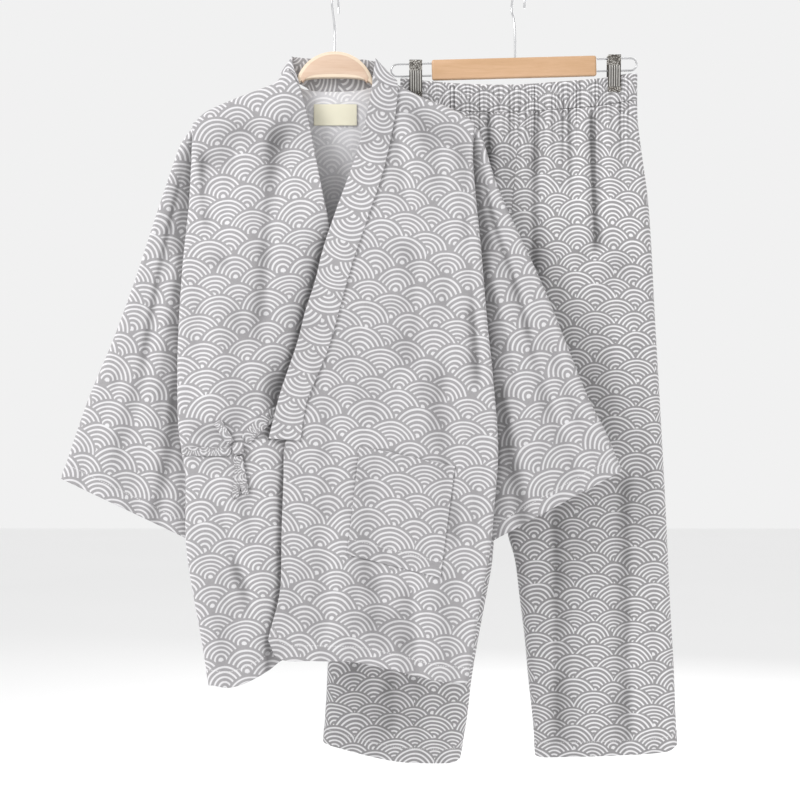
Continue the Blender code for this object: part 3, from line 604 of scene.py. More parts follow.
def stitch_line(tree, distance, place, along):
    """1 on the threads of a line of stitches at a distance from an edge, in metres."""
    off = calc(tree, 'ABSOLUTE', calc(tree, 'SUBTRACT', distance, place))
    on_line = smooth_step(tree, off, 0.0009, 0.0004)
    dashes = smooth_step(tree, calc(tree, 'SINE', calc(tree, 'MULTIPLY', along, 2 * pi / STITCH)), -0.7, -0.3)
    return calc(tree, 'MULTIPLY', on_line, dashes)


print("Threads to the centimetre:", round(0.01 / THREAD))


# %% The printed side and the wrong side
# Painted shade for the troughs of the folds
TROUGH_PAINTED_SHADE = 0.62              # how much of its colour the deepest trough of a fold loses


def printed_gauze(name, print_sizes, ground, wave, depth=1.0):
    """The cloth; depth is the strength of the print, which is faint on the wrong side, and only at full depth
    are the fold troughs darkened with painted shade.
    """
    made, tree, shader = new_material(name, 0.92)
    mask, cut = wave_print(tree, *print_sizes)
    hollow = node(tree, "ShaderNodeAttribute", {"attribute_name": "hollow"}).outputs["Fac"]
    faded = node(tree, "ShaderNodeTexNoise", Vector=cut, Scale=420.0, Detail=2.0).outputs["Fac"]
    cloudy = node(tree, "ShaderNodeTexNoise", Vector=cut, Scale=16.0, Detail=2.0).outputs["Fac"]
    strength = calc(tree, 'MULTIPLY', mask, calc(tree, 'MULTIPLY_ADD', faded, 0.30, 0.82))
    strength = calc(tree, 'MULTIPLY', strength, depth)
    darker = tuple(0.86 * c for c in ground) + (1.0,)
    paler = tuple(1.10 * c for c in ground) + (1.0,)
    dyed = mix_colour(tree, calc(tree, 'MULTIPLY_ADD', faded, 0.9, -0.1), darker, paler)
    white = mix_colour(tree, cloudy, (*wave, 1.0), tuple(0.94 * c for c in wave) + (1.0,))
    colour = mix_colour(tree, strength, dyed, white)
    edges = node(tree, "ShaderNodeAttribute", {"attribute_name": "from_edges"})
    from_edge = node(tree, "ShaderNodeSeparateXYZ", Vector=edges.outputs["Vector"])
    parts = node(tree, "ShaderNodeSeparateXYZ", Vector=cut)
    stitches = stitch_line(tree, from_edge.outputs[0], HEM_DEPTH * MM, parts.outputs[0])
    colour = mix_colour(tree, calc(tree, 'MULTIPLY', stitches, 0.5), colour, (0.80, 0.79, 0.80, 1.0))
    # Painted shade: the deeper a point lies in a fold, by the hollow attribute, the more its colour is
    # darkened towards black.
    if depth == 1.0:
        deepest = mix_colour(tree, TROUGH_PAINTED_SHADE, colour, (0.0, 0.0, 0.0, 1.0))
        colour = mix_colour(tree, smooth_step(tree, hollow, -0.25, 1.0), colour, deepest)
    tree.links.new(colour, shader.inputs["Base Color"])
    height = calc(tree, 'ADD', gauze_height(tree, cut), calc(tree, 'MULTIPLY', stitches, 0.3))
    bump = node(tree, "ShaderNodeBump", Height=height, Distance=0.0006, Strength=0.8)
    tree.links.new(bump.outputs[0], shader.inputs["Normal"])
    shader.inputs["Sheen Weight"].default_value = 0.12
    shader.inputs["Sheen Roughness"].default_value = 0.5
    return made


# Width of a fan in metres; then from row to row, from arc to arc, and the smaller fans' outer arc
JACKET_PRINT = (0.0620, 0.290, 0.0927, 0.405)
TROUSER_PRINT = (0.0540, 0.298, 0.1000, 0.435)
JACKET_GROUND = (0.372, 0.362, 0.372)
TROUSER_GROUND = (0.335, 0.327, 0.333)
WAVE_WHITE = (0.76, 0.75, 0.765)
TROUSER_WHITE = tuple(1.14 * c for c in WAVE_WHITE)
jacket_cloth = printed_gauze("jacket_gauze", JACKET_PRINT, JACKET_GROUND, WAVE_WHITE)
trouser_cloth = printed_gauze("trouser_gauze", TROUSER_PRINT, TROUSER_GROUND, TROUSER_WHITE)
wrong_side = printed_gauze("gauze_wrong_side", JACKET_PRINT, (0.66, 0.65, 0.67), (0.90, 0.89, 0.90), 0.8)
print("Cloth materials:", jacket_cloth.name, trouser_cloth.name, wrong_side.name)

# %% [markdown]
# ## The outlines of the jacket
# The jacket lies nearly flat on its hanger. Its fronts and back meet at the side in a
# deep inward fold, and the sleeves hang from the shoulders with their undersides lying in
# that fold. The points are in millimetres from where the hook meets the rail.

# %% Outlines of the jacket's body
SEAM = 0.3
SEAM_TURN = 0.8             # half the gap at a seam where both walls turn in
CLOTH = 1.2
LAID = 0.5                  # between a piece and what it lies on
NECK_Z = -117.0
SHOULDER_Z = -130.0
BODY_LENGTH = 735.0
SHOULDER_RIGHT = [(-62, -104), (-70, -113), (-79, -123), (-109, -135), (-137, -146), (-171, -162),
                  (-186, -176)]
SHOULDER_LEFT = [(66, -117), (81, -124.5), (118, -143), (152, -156), (177, -169), (184, -176)]
BACK_NECK = [(-62, -104), (-56, -119), (-40, -129), (0, -132), (40, -129), (58, -121), (66, -117)]
SIDE_RIGHT = [(-186, -176), (-188, -236), (-190, -290), (-197, -374), (-202, -473), (-201, -573),
              (-196, -610), (-191, -640), (-190, -721), (-183, -775), (-171, -839), (-159, -909)]
SIDE_LEFT = [(184, -176), (182, -223), (185, -271), (191, -338), (199, -436), (207, -517), (213, -606),
             (208, -680), (202, -739), (190, -801), (182, -852), (173, -906)]
FRONT_EDGE_RIGHT = [(-62, -104), (-52, -119), (-43, -138), (-33, -177), (-23, -229), (-15, -270), (-5, -315),
                    (14, -400), (38, -520), (56, -600), (58, -700), (60, -868)]
FRONT_EDGE_LEFT = [(66, -117), (72, -132), (70, -160), (60, -210), (44, -287), (16, -360), (-4, -431),
                   (-16, -467), (-33, -510), (-49, -570), (-62, -600), (-64, -649), (-66, -715), (-67, -780),
                   (-71, -806), (-78, -832), (-83, -851)]
HEM_RIGHT = [(60, -868), (0, -870), (-40, -872), (-67, -877), (-87, -891), (-116, -906), (-139, -912),
             (-159, -909)]
HEM_LEFT = [(-83, -851), (-69, -875), (-21, -878), (32, -880), (86, -891), (126, -901), (144, -904),
            (173, -906)]
HEM_BACK = [(-159, -909), (-139, -908), (-87, -884), (-40, -868), (32, -872), (86, -884), (126, -896),
            (173, -906)]
print("Jacket length in mm:", round(SHOULDER_RIGHT[0][1] - HEM_RIGHT[-2][1]))

# %% Folds of the jacket's body
# Start and end (x, z), width to the left and to the right, and height outwards
FRONT_FOLDS = [
    (94, -160, 108, -290, 12, 20, 3.0),
    (130, -500, 150, -720, 26, 18, -1.5),
    (-74, -150, -98, -470, 14, 20, -3.2),
    (-150, -380, -160, -560, 22, 18, 2.6),
    (-110, -740, -84, -860, 12, 18, 1.6),
    (40, -620, 60, -860, 22, 30, -2.2),
    (-40, -260, -84, -540, 18, 12, -1.6),
    (-120, -200, -132, -420, 14, 18, 1.6),
    (62, -728, 84, -760, 14, 14, -0.8),
    (-128, -752, -72, -880, 10, 14, -0.9),
    (-150, -640, -108, -760, 10, 14, 0.8),
    (150, -200, 172, -420, 14, 12, 1.8),
    (168, -300, 186, -520, 10, 10, -1.6),
    (104, -330, 96, -500, 20, 16, -1.4),
    (10, -700, 4, -860, 16, 12, 1.5),
    (110, -760, 120, -890, 12, 18, 1.8),
    (-178, -210, -164, -330, 8, 12, -1.4),
]
BACK_FOLDS = [
    (-96, -190, -118, -560, 20, 26, -2.8),
    (92, -190, 122, -600, 24, 18, -2.8),
    (-50, -520, -64, -860, 18, 24, 2.6),
    (30, -480, 52, -860, 24, 18, 2.6),
    (-20, -180, -12, -420, 16, 14, 1.6),
    (150, -300, 160, -640, 12, 16, 1.8),
    (-150, -330, -156, -700, 16, 12, 1.8),
    (-110, -700, -100, -890, 14, 10, -1.6),
    (96, -690, 104, -890, 10, 14, -1.6),
]
FOLD_STRENGTH = 1.5
BODY_UNEVEN = 1.0           # the seed that both fronts share, so that they never cross
print("Folds placed by hand on the body:", len(FRONT_FOLDS) + len(BACK_FOLDS))


# %% The depth of the body
SHOULDER_HALF = 10.5
SHOULDER_ROUND = 8.0
BODY_HALF = 26.0
BODY_DROP = 200.0
OVERLAP = 4.0
BAND_FRONT = [
    (-83, -593, -42, -596), (-70, -540, -35, -549), (-58, -503, -21, -513), (-46, -467, -7, -478),
    (-36, -427, 4, -440), (-24, -390, 14, -403), (-13, -345, 27, -358), (5, -291, 45, -304),
    (24, -237, 63, -249), (37, -194, 73, -205), (44, -160, 80, -168), (49, -134, 83, -143),
]


def half_depth(drop):
    """Half the jacket's depth at a drop below the shoulder line."""
    return (SEAM_TURN + SHOULDER_HALF * round_off(drop, SHOULDER_ROUND)
            + (BODY_HALF - SHOULDER_HALF) * ease((drop - 10) / (BODY_DROP - 10)))


def free_edge_x(z):
    """Where the upper front or its band ends over the under front."""
    return level([(row[0], row[1]) for row in reversed(BAND_FRONT)] + FRONT_EDGE_LEFT[10:], z)


def front_y(x, z, drop):
    """The fronts' common face, with its folds."""
    relief = FOLD_STRENGTH * raised(FRONT_FOLDS, x, z) + uneven(x, z, BODY_UNEVEN)
    return -half_depth(drop) - relief * ease((drop - 20) / 60)


def upper_y(x, z):
    return front_y(x, z, NECK_Z - z)


def step_back(x, z):
    """How far the under front lies behind the common face, and sinks in beside the upper one's edge."""
    aside = max(0.0, free_edge_x(z) - x)
    covered = OVERLAP * ease((30 - aside) / 30)
    slit = 3.5 * exp(-(aside / 7) ** 2) * ease((-180 - z) / 60)
    hollow = 9.0 * exp(-(aside / 34) ** 2) * ease((-270 - z) / 110) * ease((z + 600) / 90)
    return covered + slit + hollow


def under_y(x, z):
    """The under front steps back where the upper one covers it."""
    return front_y(x, z, SHOULDER_Z - z) + step_back(x, z)


print("Depth of the body in mm:", 2 * BODY_HALF)


# %% The fold at the side
FOLD_RADIUS = 6.0
VALLEY = 32.0
FRONT_SHARE = 0.8           # of a front's grid that is the flat part, before the side fold
QUARTER = 0.4               # of the fold's part of the grid that turns to the side
UNDERARM = 240.0            # mm down to where the armhole ends


def fold_radius(drop):
    return 1.5 + (FOLD_RADIUS - 1.5) * ease(drop / 80)


def side_fold(x, half, radius, outward, share):
    """The way round the side fold and into the tuck behind it, as (x, y)."""
    rise = min(radius, 0.7 * (half - SEAM / 2))

    def on_arc(turn):
        a = radians(turn)
        return x - outward * radius * (1 - sin(a)), -half + rise * (1 - cos(a))
    if share <= QUARTER:
        return on_arc(90 * share / QUARTER)
    if share <= 0.6:
        return on_arc(90 + 45 * (share - QUARTER) / (0.6 - QUARTER))
    stops = [on_arc(135), (x - outward * VALLEY * 0.5, -(half - 2 * radius) * 0.53),
             (x - outward * VALLEY, -SEAM / 2)]
    step = (share - 0.6) / 0.2
    a, b = (stops[0], stops[1]) if step <= 1 else (stops[1], stops[2])
    part = step if step <= 1 else step - 1
    return a[0] + (b[0] - a[0]) * part, a[1] + (b[1] - a[1]) * part


print("The tuck at the side is", VALLEY, "mm deep")

# %% [markdown]
# ## The two fronts
# The wearer's left front crosses over the right one, so both are drawn with the same
# surface, and the under one steps back by a few millimetres where it is covered. Each
# front turns round the side in a soft fold and ends at the side seam, deep in the tuck.
# Above the underarm that last part belongs to the sleeve, so it is cut away.


# %% A front
def front_place(edge, side, top, hem, outward, under):
    """Where a front's point at (u, v) goes."""
    flat = patch(line(edge), line(side), line(top), line(hem))
    top_line = line(top)

    def at(u, v):
        radius = fold_radius(v * BODY_LENGTH)
        if u <= FRONT_SHARE:
            part = u / FRONT_SHARE
            x, z = flat(part, v)
            x -= outward * part * radius
            drop = top_line(part)[1] - z
            relief = FOLD_STRENGTH * raised(FRONT_FOLDS, x, z) + uneven(x, z, BODY_UNEVEN)
            relief *= ease((drop - 20) / 60) * ease((1 - part) / 0.08)
            y = -half_depth(drop) - relief
        else:
            x_side, z = flat(1, v)
            half = half_depth(top[-1][1] - z)
            x, y = side_fold(x_side, half, radius, outward, (u - FRONT_SHARE) / (1 - FRONT_SHARE))
        if under:
            y += step_back(x, z)
        return Vector((x, y, z))
    return at


def press_hem(rows, hem, edge):
    """Step the cloth out over its hem, and pucker it along the stitches."""
    for row in rows:
        for vert in row:
            if hem[vert] < 3 * HEM_DEPTH:
                vert.co += vert.normal * stitched(hem[vert], edge[vert])


print("A front has one flat part and one side fold")

# %% Make both fronts
HEM_STEPS = [BODY_LENGTH - d for d in HEM_FINE]
FRONT_COLUMNS = shares(100)
FRONT_ROWS = shares(120, BODY_LENGTH, [0.8, 2, 3.5, 8, 10, 14] + HEM_STEPS)


def make_front(name, outline, outward, under, grain):
    """One front, from its front edge round the side fold to the side seam."""
    bm, rows = grid_panel(front_place(*outline, outward, under), FRONT_COLUMNS, FRONT_ROWS)
    face_out(bm, lambda p: Vector((0, -1, 0)))
    start = round(0.4 * (len(FRONT_COLUMNS) - 1))
    hem, edge, _ = record_cut(bm, rows, lay_flat(rows, start, grain))
    press_hem(rows, hem, edge)
    quarter = FRONT_SHARE + QUARTER * (1 - FRONT_SHARE) - 0.001
    tuck = {vert for row, v in zip(rows, FRONT_ROWS) for vert, u in zip(row, FRONT_COLUMNS)
            if u > quarter + 0.002 and v * BODY_LENGTH < UNDERARM}
    bmesh.ops.delete(bm, geom=list(tuck), context='VERTS')
    piece = thicken(hang(bm, name, JACKET_PLANE, [jacket_cloth, wrong_side], [name]), CLOTH)
    return piece


front_right = make_front("jacket_front_right", (FRONT_EDGE_RIGHT, SIDE_RIGHT, SHOULDER_RIGHT, HEM_RIGHT), -1,
                         True, 9.0)
front_left = make_front("jacket_front_left", (FRONT_EDGE_LEFT, SIDE_LEFT, SHOULDER_LEFT, HEM_LEFT), 1, False,
                        -11.0)
print("Fronts:", front_right.name, front_left.name)

# %% [markdown]
# ## The back
# The back is one panel from side seam to side seam. Its upper edge is the neck, where the
# wrong side of the cloth shows between the collars.


# %% Make the back
BACK_FOLD_SHARE = 0.12
BACK_ROWS = shares(100, BODY_LENGTH, [0.8, 2, 3.5, 8, 10, 14] + HEM_STEPS)
BACK_COLUMNS = shares(150)


def back_place():
    """Where the back's point at (u, v) goes."""
    top = line(SHOULDER_RIGHT[::-1] + BACK_NECK[1:-1] + SHOULDER_LEFT)
    flat = patch(line(SIDE_RIGHT), line(SIDE_LEFT), top, line(HEM_BACK))

    def at(u, v):
        radius = fold_radius(v * BODY_LENGTH)
        part = (u - BACK_FOLD_SHARE) / (1 - 2 * BACK_FOLD_SHARE)
        if 0 <= part <= 1:
            x, z = flat(part, v)
            x += (1 - 2 * part) * radius
            x_top, z_top = top(part)
            drop = z_top - z + 22 * ease((62 - abs(x_top - 2)) / 18)
            relief = (raised(BACK_FOLDS, x, z) + uneven(x, z, 4.0)) * ease((drop - 20) / 60)
            return Vector((x, half_depth(drop) + relief * ease(min(part, 1 - part) / 0.04), z))
        outward = -1 if part < 0 else 1
        x_side, z = flat(min(1, max(0, part)), v)
        share = (BACK_FOLD_SHARE - min(u, 1 - u)) / BACK_FOLD_SHARE
        x, y = side_fold(x_side, half_depth(SIDE_RIGHT[0][1] - z), radius, outward, share)
        return Vector((x, -y, z))
    return at


bm, rows = grid_panel(back_place(), BACK_COLUMNS, BACK_ROWS)
face_out(bm, lambda p: Vector((0, 1, 0)))
hem, edge, top = record_cut(bm, rows, lay_flat(rows, 75, 6.0))
press_hem(rows, hem, edge)
hidden = BACK_FOLD_SHARE * (1 - QUARTER) - 0.001
armholes = [vert for row, v in zip(rows, BACK_ROWS) for vert, u in zip(row, BACK_COLUMNS)
            if min(u, 1 - u) < hidden and v * BODY_LENGTH < UNDERARM]
bmesh.ops.delete(bm, geom=armholes, context='VERTS')
back = hang(bm, "jacket_back", JACKET_PLANE, [jacket_cloth, wrong_side], ["jacket_back"])
back = thicken(back, CLOTH)
print("Back:", back.name, len(back.data.polygons), "faces")

# %% [markdown]
# ## The sleeves
# A kimono sleeve is a plain tube. It is folded along the top, runs from the armhole down
# to an open cuff, and hangs almost flat. The grid goes round the tube from the underarm
# over the top fold and back, and its two ends are merged where the real one is sewn.

# %% Outlines of the sleeves
SLEEVE_TOP_RIGHT = [(-183, -177), (-201, -202), (-210, -225), (-236, -305), (-261, -384), (-289, -463),
                    (-321, -542), (-355, -644)]
SLEEVE_UNDER_RIGHT = [(-172, -400), (-176, -430), (-179, -473), (-178, -573), (-171, -640), (-171, -731)]
SLEEVE_TOP_LEFT = [(181, -178), (192, -190), (210, -248), (225, -286), (247, -333), (279, -405), (331, -537),
                   (355, -585), (375, -634)]
SLEEVE_UNDER_LEFT = [(170, -400), (174, -430), (178, -473), (187, -573), (188, -640), (182, -738)]
# Creases: share of the length at start and end, share of the width at start and end, width, height
SLEEVE_FOLDS = [
    (0.15, 0.75, 0.40, 0.46, 0.07, 1.8),
    (0.45, 1.0, 0.70, 0.66, 0.06, -1.6),
    (0.05, 0.55, 0.16, 0.30, 0.045, -1.3),
    (0.55, 1.0, 0.24, 0.20, 0.05, 1.2),
    (0.30, 0.85, 0.82, 0.88, 0.04, 1.1),
]
SLEEVE_HALF = 9.0
NOSE_HALF = 1.4             # half depth of the lower fold, in the side tuck
NOSE_SLOPE = 0.42
print("Sleeve opening in mm:", round(hypot(-355 + 171, -644 + 731)))


# %% Where a sleeve's points go
def sleeve_half(width, drop, x, z, under, settle):
    """Half the sleeve's depth at a drop below its top fold."""
    head = (SHOULDER_HALF - CLOTH - 0.7) * round_off(drop, SHOULDER_ROUND)
    head += (BODY_HALF - SHOULDER_HALF) * ease((drop - 10) / (BODY_DROP - 10))
    head -= (FOLD_RADIUS - 1.5 + 0.3) * ease(drop / 80)
    head *= round_off(width - drop, 90)
    plain = SLEEVE_HALF * round_off(drop, SLEEVE_HALF)
    into_tuck = NOSE_HALF + NOSE_SLOPE * max(0.0, abs(x) - abs(level(under, z)))
    above = BODY_HALF * ease((z - under[0][1]) / 70)
    return min(head + (plain - head) * settle, into_tuck + above)


def sleeve_place(top, under, seed):
    """Where a sleeve's point at (u, v) goes; u goes from the underarm over the top fold and back."""
    outer, inner = line(top), line(under)

    def at(u, v):
        side = -1 if u <= 0.5 else 1
        turn = abs(2 * u - 1)
        f = (1 - cos(turn * pi)) / 2
        (x0, z0), (x1, z1) = outer(v), inner(v)
        x, z = x0 + f * (x1 - x0), z0 + f * (z1 - z0)
        width = hypot(x1 - x0, z1 - z0)
        half = sleeve_half(width, f * width, x, z, under, ease(v / 0.35))
        half *= round_off((1 - f) * width + 0.02, 3)
        swell = 0.0
        for start, end, first, last, spread, height in SLEEVE_FOLDS:
            fade = ease((v - start) * 8) * ease((end - v) * 8 + 0.6)
            place = first + (last - first) * (v - start) / (end - start)
            swell += height * fade * exp(-((f - place) / spread) ** 2)
        flat_part = ease(f * width / 25) * ease((1 - f) * width / 60)
        swell += uneven(x, z, seed) * flat_part * ease(v / 0.15)
        return Vector((x, side * (half + swell * (1 if side < 0 else 0.6)), z))
    return at


print("Half the depth of a sleeve in mm:", SLEEVE_HALF)

# %% Make both sleeves
SLEEVE_LENGTH = 460.0
SLEEVE_ROWS = shares(90, SLEEVE_LENGTH, [SLEEVE_LENGTH - d for d in HEM_FINE])
SLEEVE_COLUMNS = shares(120)


def fold_over(rows, top, grain):
    """The sleeve's cut: its back half is turned over along the top fold, and the whole by the grain."""
    fold = Vector((top[-1][0] - top[0][0], top[-1][1] - top[0][1])).normalized()
    turn = Matrix.Rotation(-radians(grain), 2)
    middle = len(SLEEVE_COLUMNS) // 2
    flat = {}
    for row in rows:
        corner = Vector((row[middle].co.x, row[middle].co.z))
        for k, vert in enumerate(row):
            off = Vector((vert.co.x, vert.co.z)) - corner
            if k > middle:
                off = 2 * off.dot(fold) * fold - off
            flat[vert] = tuple(turn @ (corner + off))
    return flat


def make_sleeve(name, top, under, side, seed, grain):
    bm, rows = grid_panel(sleeve_place(top, under, seed), SLEEVE_COLUMNS, SLEEVE_ROWS)
    face_out(bm, lambda p: Vector((0, p.y, 0)))
    # Painted shadow: next to the body's side fold, the sleeve's colour is darkened through the hollow
    # attribute.
    hem, edge, _ = record_cut(bm, rows, fold_over(rows, top, grain), lambda p: 0.95 * exp(
        -max(0.0, abs(p.x) - abs(level(side, p.z))) / 11) if p.z > side[-1][1] else 0.0)
    press_hem(rows, hem, edge)
    bmesh.ops.remove_doubles(bm, verts=bm.verts, dist=0.05)
    piece = thicken(hang(bm, name, JACKET_PLANE, [jacket_cloth, wrong_side], [name]), CLOTH)
    return piece


sleeve_right = make_sleeve("jacket_sleeve_right", SLEEVE_TOP_RIGHT, SLEEVE_UNDER_RIGHT, SIDE_RIGHT, 9.0,
                           -27.0)
sleeve_left = make_sleeve("jacket_sleeve_left", SLEEVE_TOP_LEFT, SLEEVE_UNDER_LEFT, SIDE_LEFT, 12.0, 28.0)
print("Sleeves:", sleeve_right.name, sleeve_left.name)

# %% [markdown]
# ## The collar band
# One long folded band runs up the upper front, round the back of the neck and down inside
# the under front. It is a ribbon with a line of points along each of its edges. On the
# front it lies on the panel, so its height is read from the panel's own surface.

# %% The band's edges
BAND = 2.2
BAND_WIDTH = 38.0
BAND_BEHIND = 2.2
# From behind the wearer's left shoulder round to the under front: free x, y, z, seam x, y, z
NECK_BAND = [
    (46, 13.0, -90, 70, 14.4, -136), (37, 13.1, -88.5, 46, 14.7, -138),
    (17, 13.2, -88, 21, 14.8, -138), (-4, 13.2, -88, -4, 14.8, -138),
    (-21, 13.0, -88, -25, 14.8, -137), (-33, 12.4, -87.5, -37, 14.2, -126.8),
    (-44, 10.6, -87, -48, 11.4, -121), (-54, 6.5, -86.5, -65, 6.6, -110),
    (-57, 0.0, -88, -72, 0.0, -109.5), (-55, -5.0, -100, -69, -5.6, -113.5),
    (-50, -8.6, -114, -58, -8.6, -124), (-45, -9.4, -130, -66, -9.3, -139),
]
edges = []
for x0, z0, x1, z1 in BAND_FRONT:
    edges.append((Vector((x0, 0, z0)), Vector((x1, 0, z1))))
for turn in range(0, 181, 26):
    a = radians(turn)
    depth = -min(1, max(-1, 1.5 * cos(a)))
    free_z = -119 + 29 * sin(min(a, pi / 2)) - 2 * ease(turn / 180 - 0.5)
    edges.append((Vector((50 + 4 * sin(a), 12.9 * depth, free_z)),
                  Vector((83 - 3 * ease(turn / 180), 14.4 * depth, -133.6 + 13.4 * sin(a)))))
edges += [(Vector(row[:3]), Vector(row[3:])) for row in NECK_BAND]
under_edge = line(FRONT_EDGE_RIGHT)
for share in (0.1, 0.16, 0.22, 0.29, 0.36, 0.44, 0.52, 0.6):
    (x, z), ahead = under_edge(share), under_edge(share + 0.01)
    run = Vector((ahead[0] - x, 0, ahead[1] - z)).normalized()
    seam_x, seam_z = x + run.z * BAND_WIDTH, z - run.x * BAND_WIDTH
    behind = CLOTH + BAND_BEHIND
    edges.append((Vector((x - 2, under_y(x, z) + behind, z)),
                  Vector((seam_x, under_y(seam_x, seam_z) + behind, seam_z))))
print("Places along the band:", len(edges))


# %% The band's surface
def through(points, t):
    """A smooth run through points in space, at t counted in points."""
    i = min(len(points) - 2, max(0, int(t)))
    r = t - i
    a, b = points[i], points[i + 1]
    before, after = points[max(i - 1, 0)], points[min(i + 2, len(points) - 1)]
    return (a * (2 * r ** 3 - 3 * r * r + 1) + b * (3 * r * r - 2 * r ** 3)
            + (b - before) * 0.5 * (r ** 3 - 2 * r * r + r) + (after - a) * 0.5 * (r ** 3 - r * r))


free_edge, seam_edge = [pair[0] for pair in edges], [pair[1] for pair in edges]
ON_FRONT = len(BAND_FRONT) - 1


def band_place(u, v):
    """u runs from the free edge to the seam, v from the lower end round the neck."""
    t = v * (len(edges) - 1)
    point = through(free_edge, t).lerp(through(seam_edge, t), u)
    soft = 0.35 * noise.noise(Vector((t * 2.2, u * 1.5, 2.0)))
    if t <= ON_FRONT:
        point.y = upper_y(point.x, point.z) - LAID - BAND - 0.3 * sin(pi * u)
        point.y -= abs(soft)
    elif t < ON_FRONT + 1:
        laid = upper_y(point.x, point.z) - LAID - BAND - 0.3 * sin(pi * u) - abs(soft)
        start = through(free_edge, ON_FRONT + 1).lerp(through(seam_edge, ON_FRONT + 1), u)
        point.y = laid + (start.y - laid) * ease(t - ON_FRONT)
    return point


print("The band lies on the front up to place", ON_FRONT)

# %% Make the band
BAND_ACROSS = shares(18)
BAND_ALONG = shares(300)
bm, rows = grid_panel(band_place, BAND_ACROSS, BAND_ALONG)
bm.normal_update()
lower_face = min(bm.faces, key=lambda face: (face.calc_center_median() - Vector((-60, -25, -590))).length)
if lower_face.normal.y > 0:
    bmesh.ops.reverse_faces(bm, faces=bm.faces)
    bm.normal_update()
flat = {}
reach = 0.0
for k, row in enumerate(rows):
    if k:
        reach += (row[9].co - rows[k - 1][9].co).length
    for vert, u in zip(row, BAND_ACROSS):
        flat[vert] = (u * BAND_WIDTH + 11, -reach)
record_cut(bm, rows, flat)
band = hang(bm, "jacket_collar", JACKET_PLANE, [jacket_cloth], ["jacket_collar"])
band = thicken(band, BAND, 0.7)
print("Length of the band in m:", round(reach * MM, 2))

# %% [markdown]
# ## The pocket and the label
# Both are flat pieces that lie on a panel. Their points are read from that panel's surface
# and moved out, so they follow its folds and never sink into it.


# %% A piece between four corners
def four_corners(corners, place):
    """Where the point at (u, v) between four corners goes; place gives its y."""
    a, b, c, d = [Vector((x, 0, z)) for x, z in corners]

    def at(u, v):
        point = a.lerp(b, u).lerp(d.lerp(c, u), v)
        point.y = place(point.x, point.z)
        return point
    return at


POCKET = [(34, -603), (157, -629), (138, -772), (18, -742)]
pocket_shape = four_corners(POCKET, lambda x, z: upper_y(x, z) - LAID - CLOTH)


def pocket_place(u, v):
    """The pocket stands a little away from the front along its open top."""
    point = pocket_shape(u, v)
    point.y -= 1.3 * exp(-v / 0.12) * sin(pi * u) + 0.2
    return point


pocket_steps = shares(56, 127, (1, 2, 3, 4.5, 122.5, 124, 125, 126))
bm, rows = grid_panel(pocket_place, pocket_steps, shares(60, 143, (1, 2, 3, 4.5, 138.5, 140, 141, 142)))
face_out(bm, lambda p: Vector((0, -1, 0)))
record_cut(bm, rows, lay_flat(rows, 0, -9.0))
pocket = hang(bm, "jacket_pocket", JACKET_PLANE, [jacket_cloth], ["jacket_pocket"])
pocket = thicken(pocket, CLOTH, 0.4)
print("Pocket:", pocket.name)

# %% The woven label
label_cloth, tree, shader = new_material("label_cream", 0.75)
where = node(tree, "ShaderNodeTexCoord").outputs["Object"]
ribs = node(tree, "ShaderNodeTexWave", {"bands_direction": 'Z'}, Vector=where, Scale=700.0, Distortion=0.6)
tone = mix_colour(tree, ribs.outputs["Fac"], (0.78, 0.74, 0.57, 1.0), (0.86, 0.83, 0.68, 1.0))
tree.links.new(tone, shader.inputs["Base Color"])
bump = node(tree, "ShaderNodeBump", Height=ribs.outputs["Fac"], Distance=0.0002, Strength=0.5)
tree.links.new(bump.outputs[0], shader.inputs["Normal"])
LABEL = [(-28, -149), (29, -149), (29, -177), (-28, -177)]
LABEL_FROM = -108.0
LABEL_THICK = 1.0


def label_y(x, z):
    """The label's face, on the inside of the back."""
    curl = 0.5 * exp(-((z - LABEL[2][1]) / 4) ** 2) + 0.25 * sin(x / 9)
    return half_depth(LABEL_FROM - z) - CLOTH - LAID - LABEL_THICK - 0.3 - curl


bm, rows = grid_panel(four_corners(LABEL, label_y), shares(30), shares(16))
face_out(bm, lambda p: Vector((0, -1, 0)))
record_cut(bm, rows, lay_flat(rows, 0, 0.0))
label = thicken(hang(bm, "neck_label", JACKET_PLANE, [label_cloth], ["neck_label"]), 0.6, 0.2)
print("Label:", label.name)

# %% [markdown]
# ## The ties
# Two narrow ties are knotted at the side in a half bow: one loop, a knot and two free
# ends. Each tie is a ribbon on the under front, creased across where the knot pulls it.

# %% Ribbons on the front
TIE = 1.6
RUFFLED = 2.3               # how much closer together the print is drawn along a tie


def ribbon_place(route, width, lift, pull):
    """A flat tie along a route of (x, z); pull scales the height of its creases."""
    run = line(route)

    def at(u, v):
        (x0, z0), (x1, z1) = run(max(0, v - 0.02)), run(min(1, v + 0.02))
        x, z = run(v)
        across = Vector((z1 - z0, 0, x0 - x1)).normalized()
        narrow = 1 - 0.25 * exp(-min(v, 1 - v) / 0.08)
        point = Vector((x, 0, z)) + across * width * narrow * (u - 0.5)
        crease = pull * (0.45 * sin(9.5 * (u + 0.6 * v)) + 0.5 * sin(70 * v + 3 * sin(4 * u + 9 * v)))
        point.y = under_y(point.x, point.z) - TIE - lift - 0.5 - abs(crease)
        return point
    return at


def make_tie(name, place, across, along, flat_size):
    bm, rows = grid_panel(place, shares(across), shares(along))
    face_out(bm, lambda p: Vector((0, -1, 0)))
    flat = {}
    for j, row in enumerate(rows):
        for i, vert in enumerate(row):
            flat[vert] = (RUFFLED * flat_size[1] / MM * j / along, flat_size[0] / MM * i / across + 12)
    record_cut(bm, rows, flat)
    piece = thicken(hang(bm, name, JACKET_PLANE, [jacket_cloth], [name]), 1.4, 0.4)
    return piece


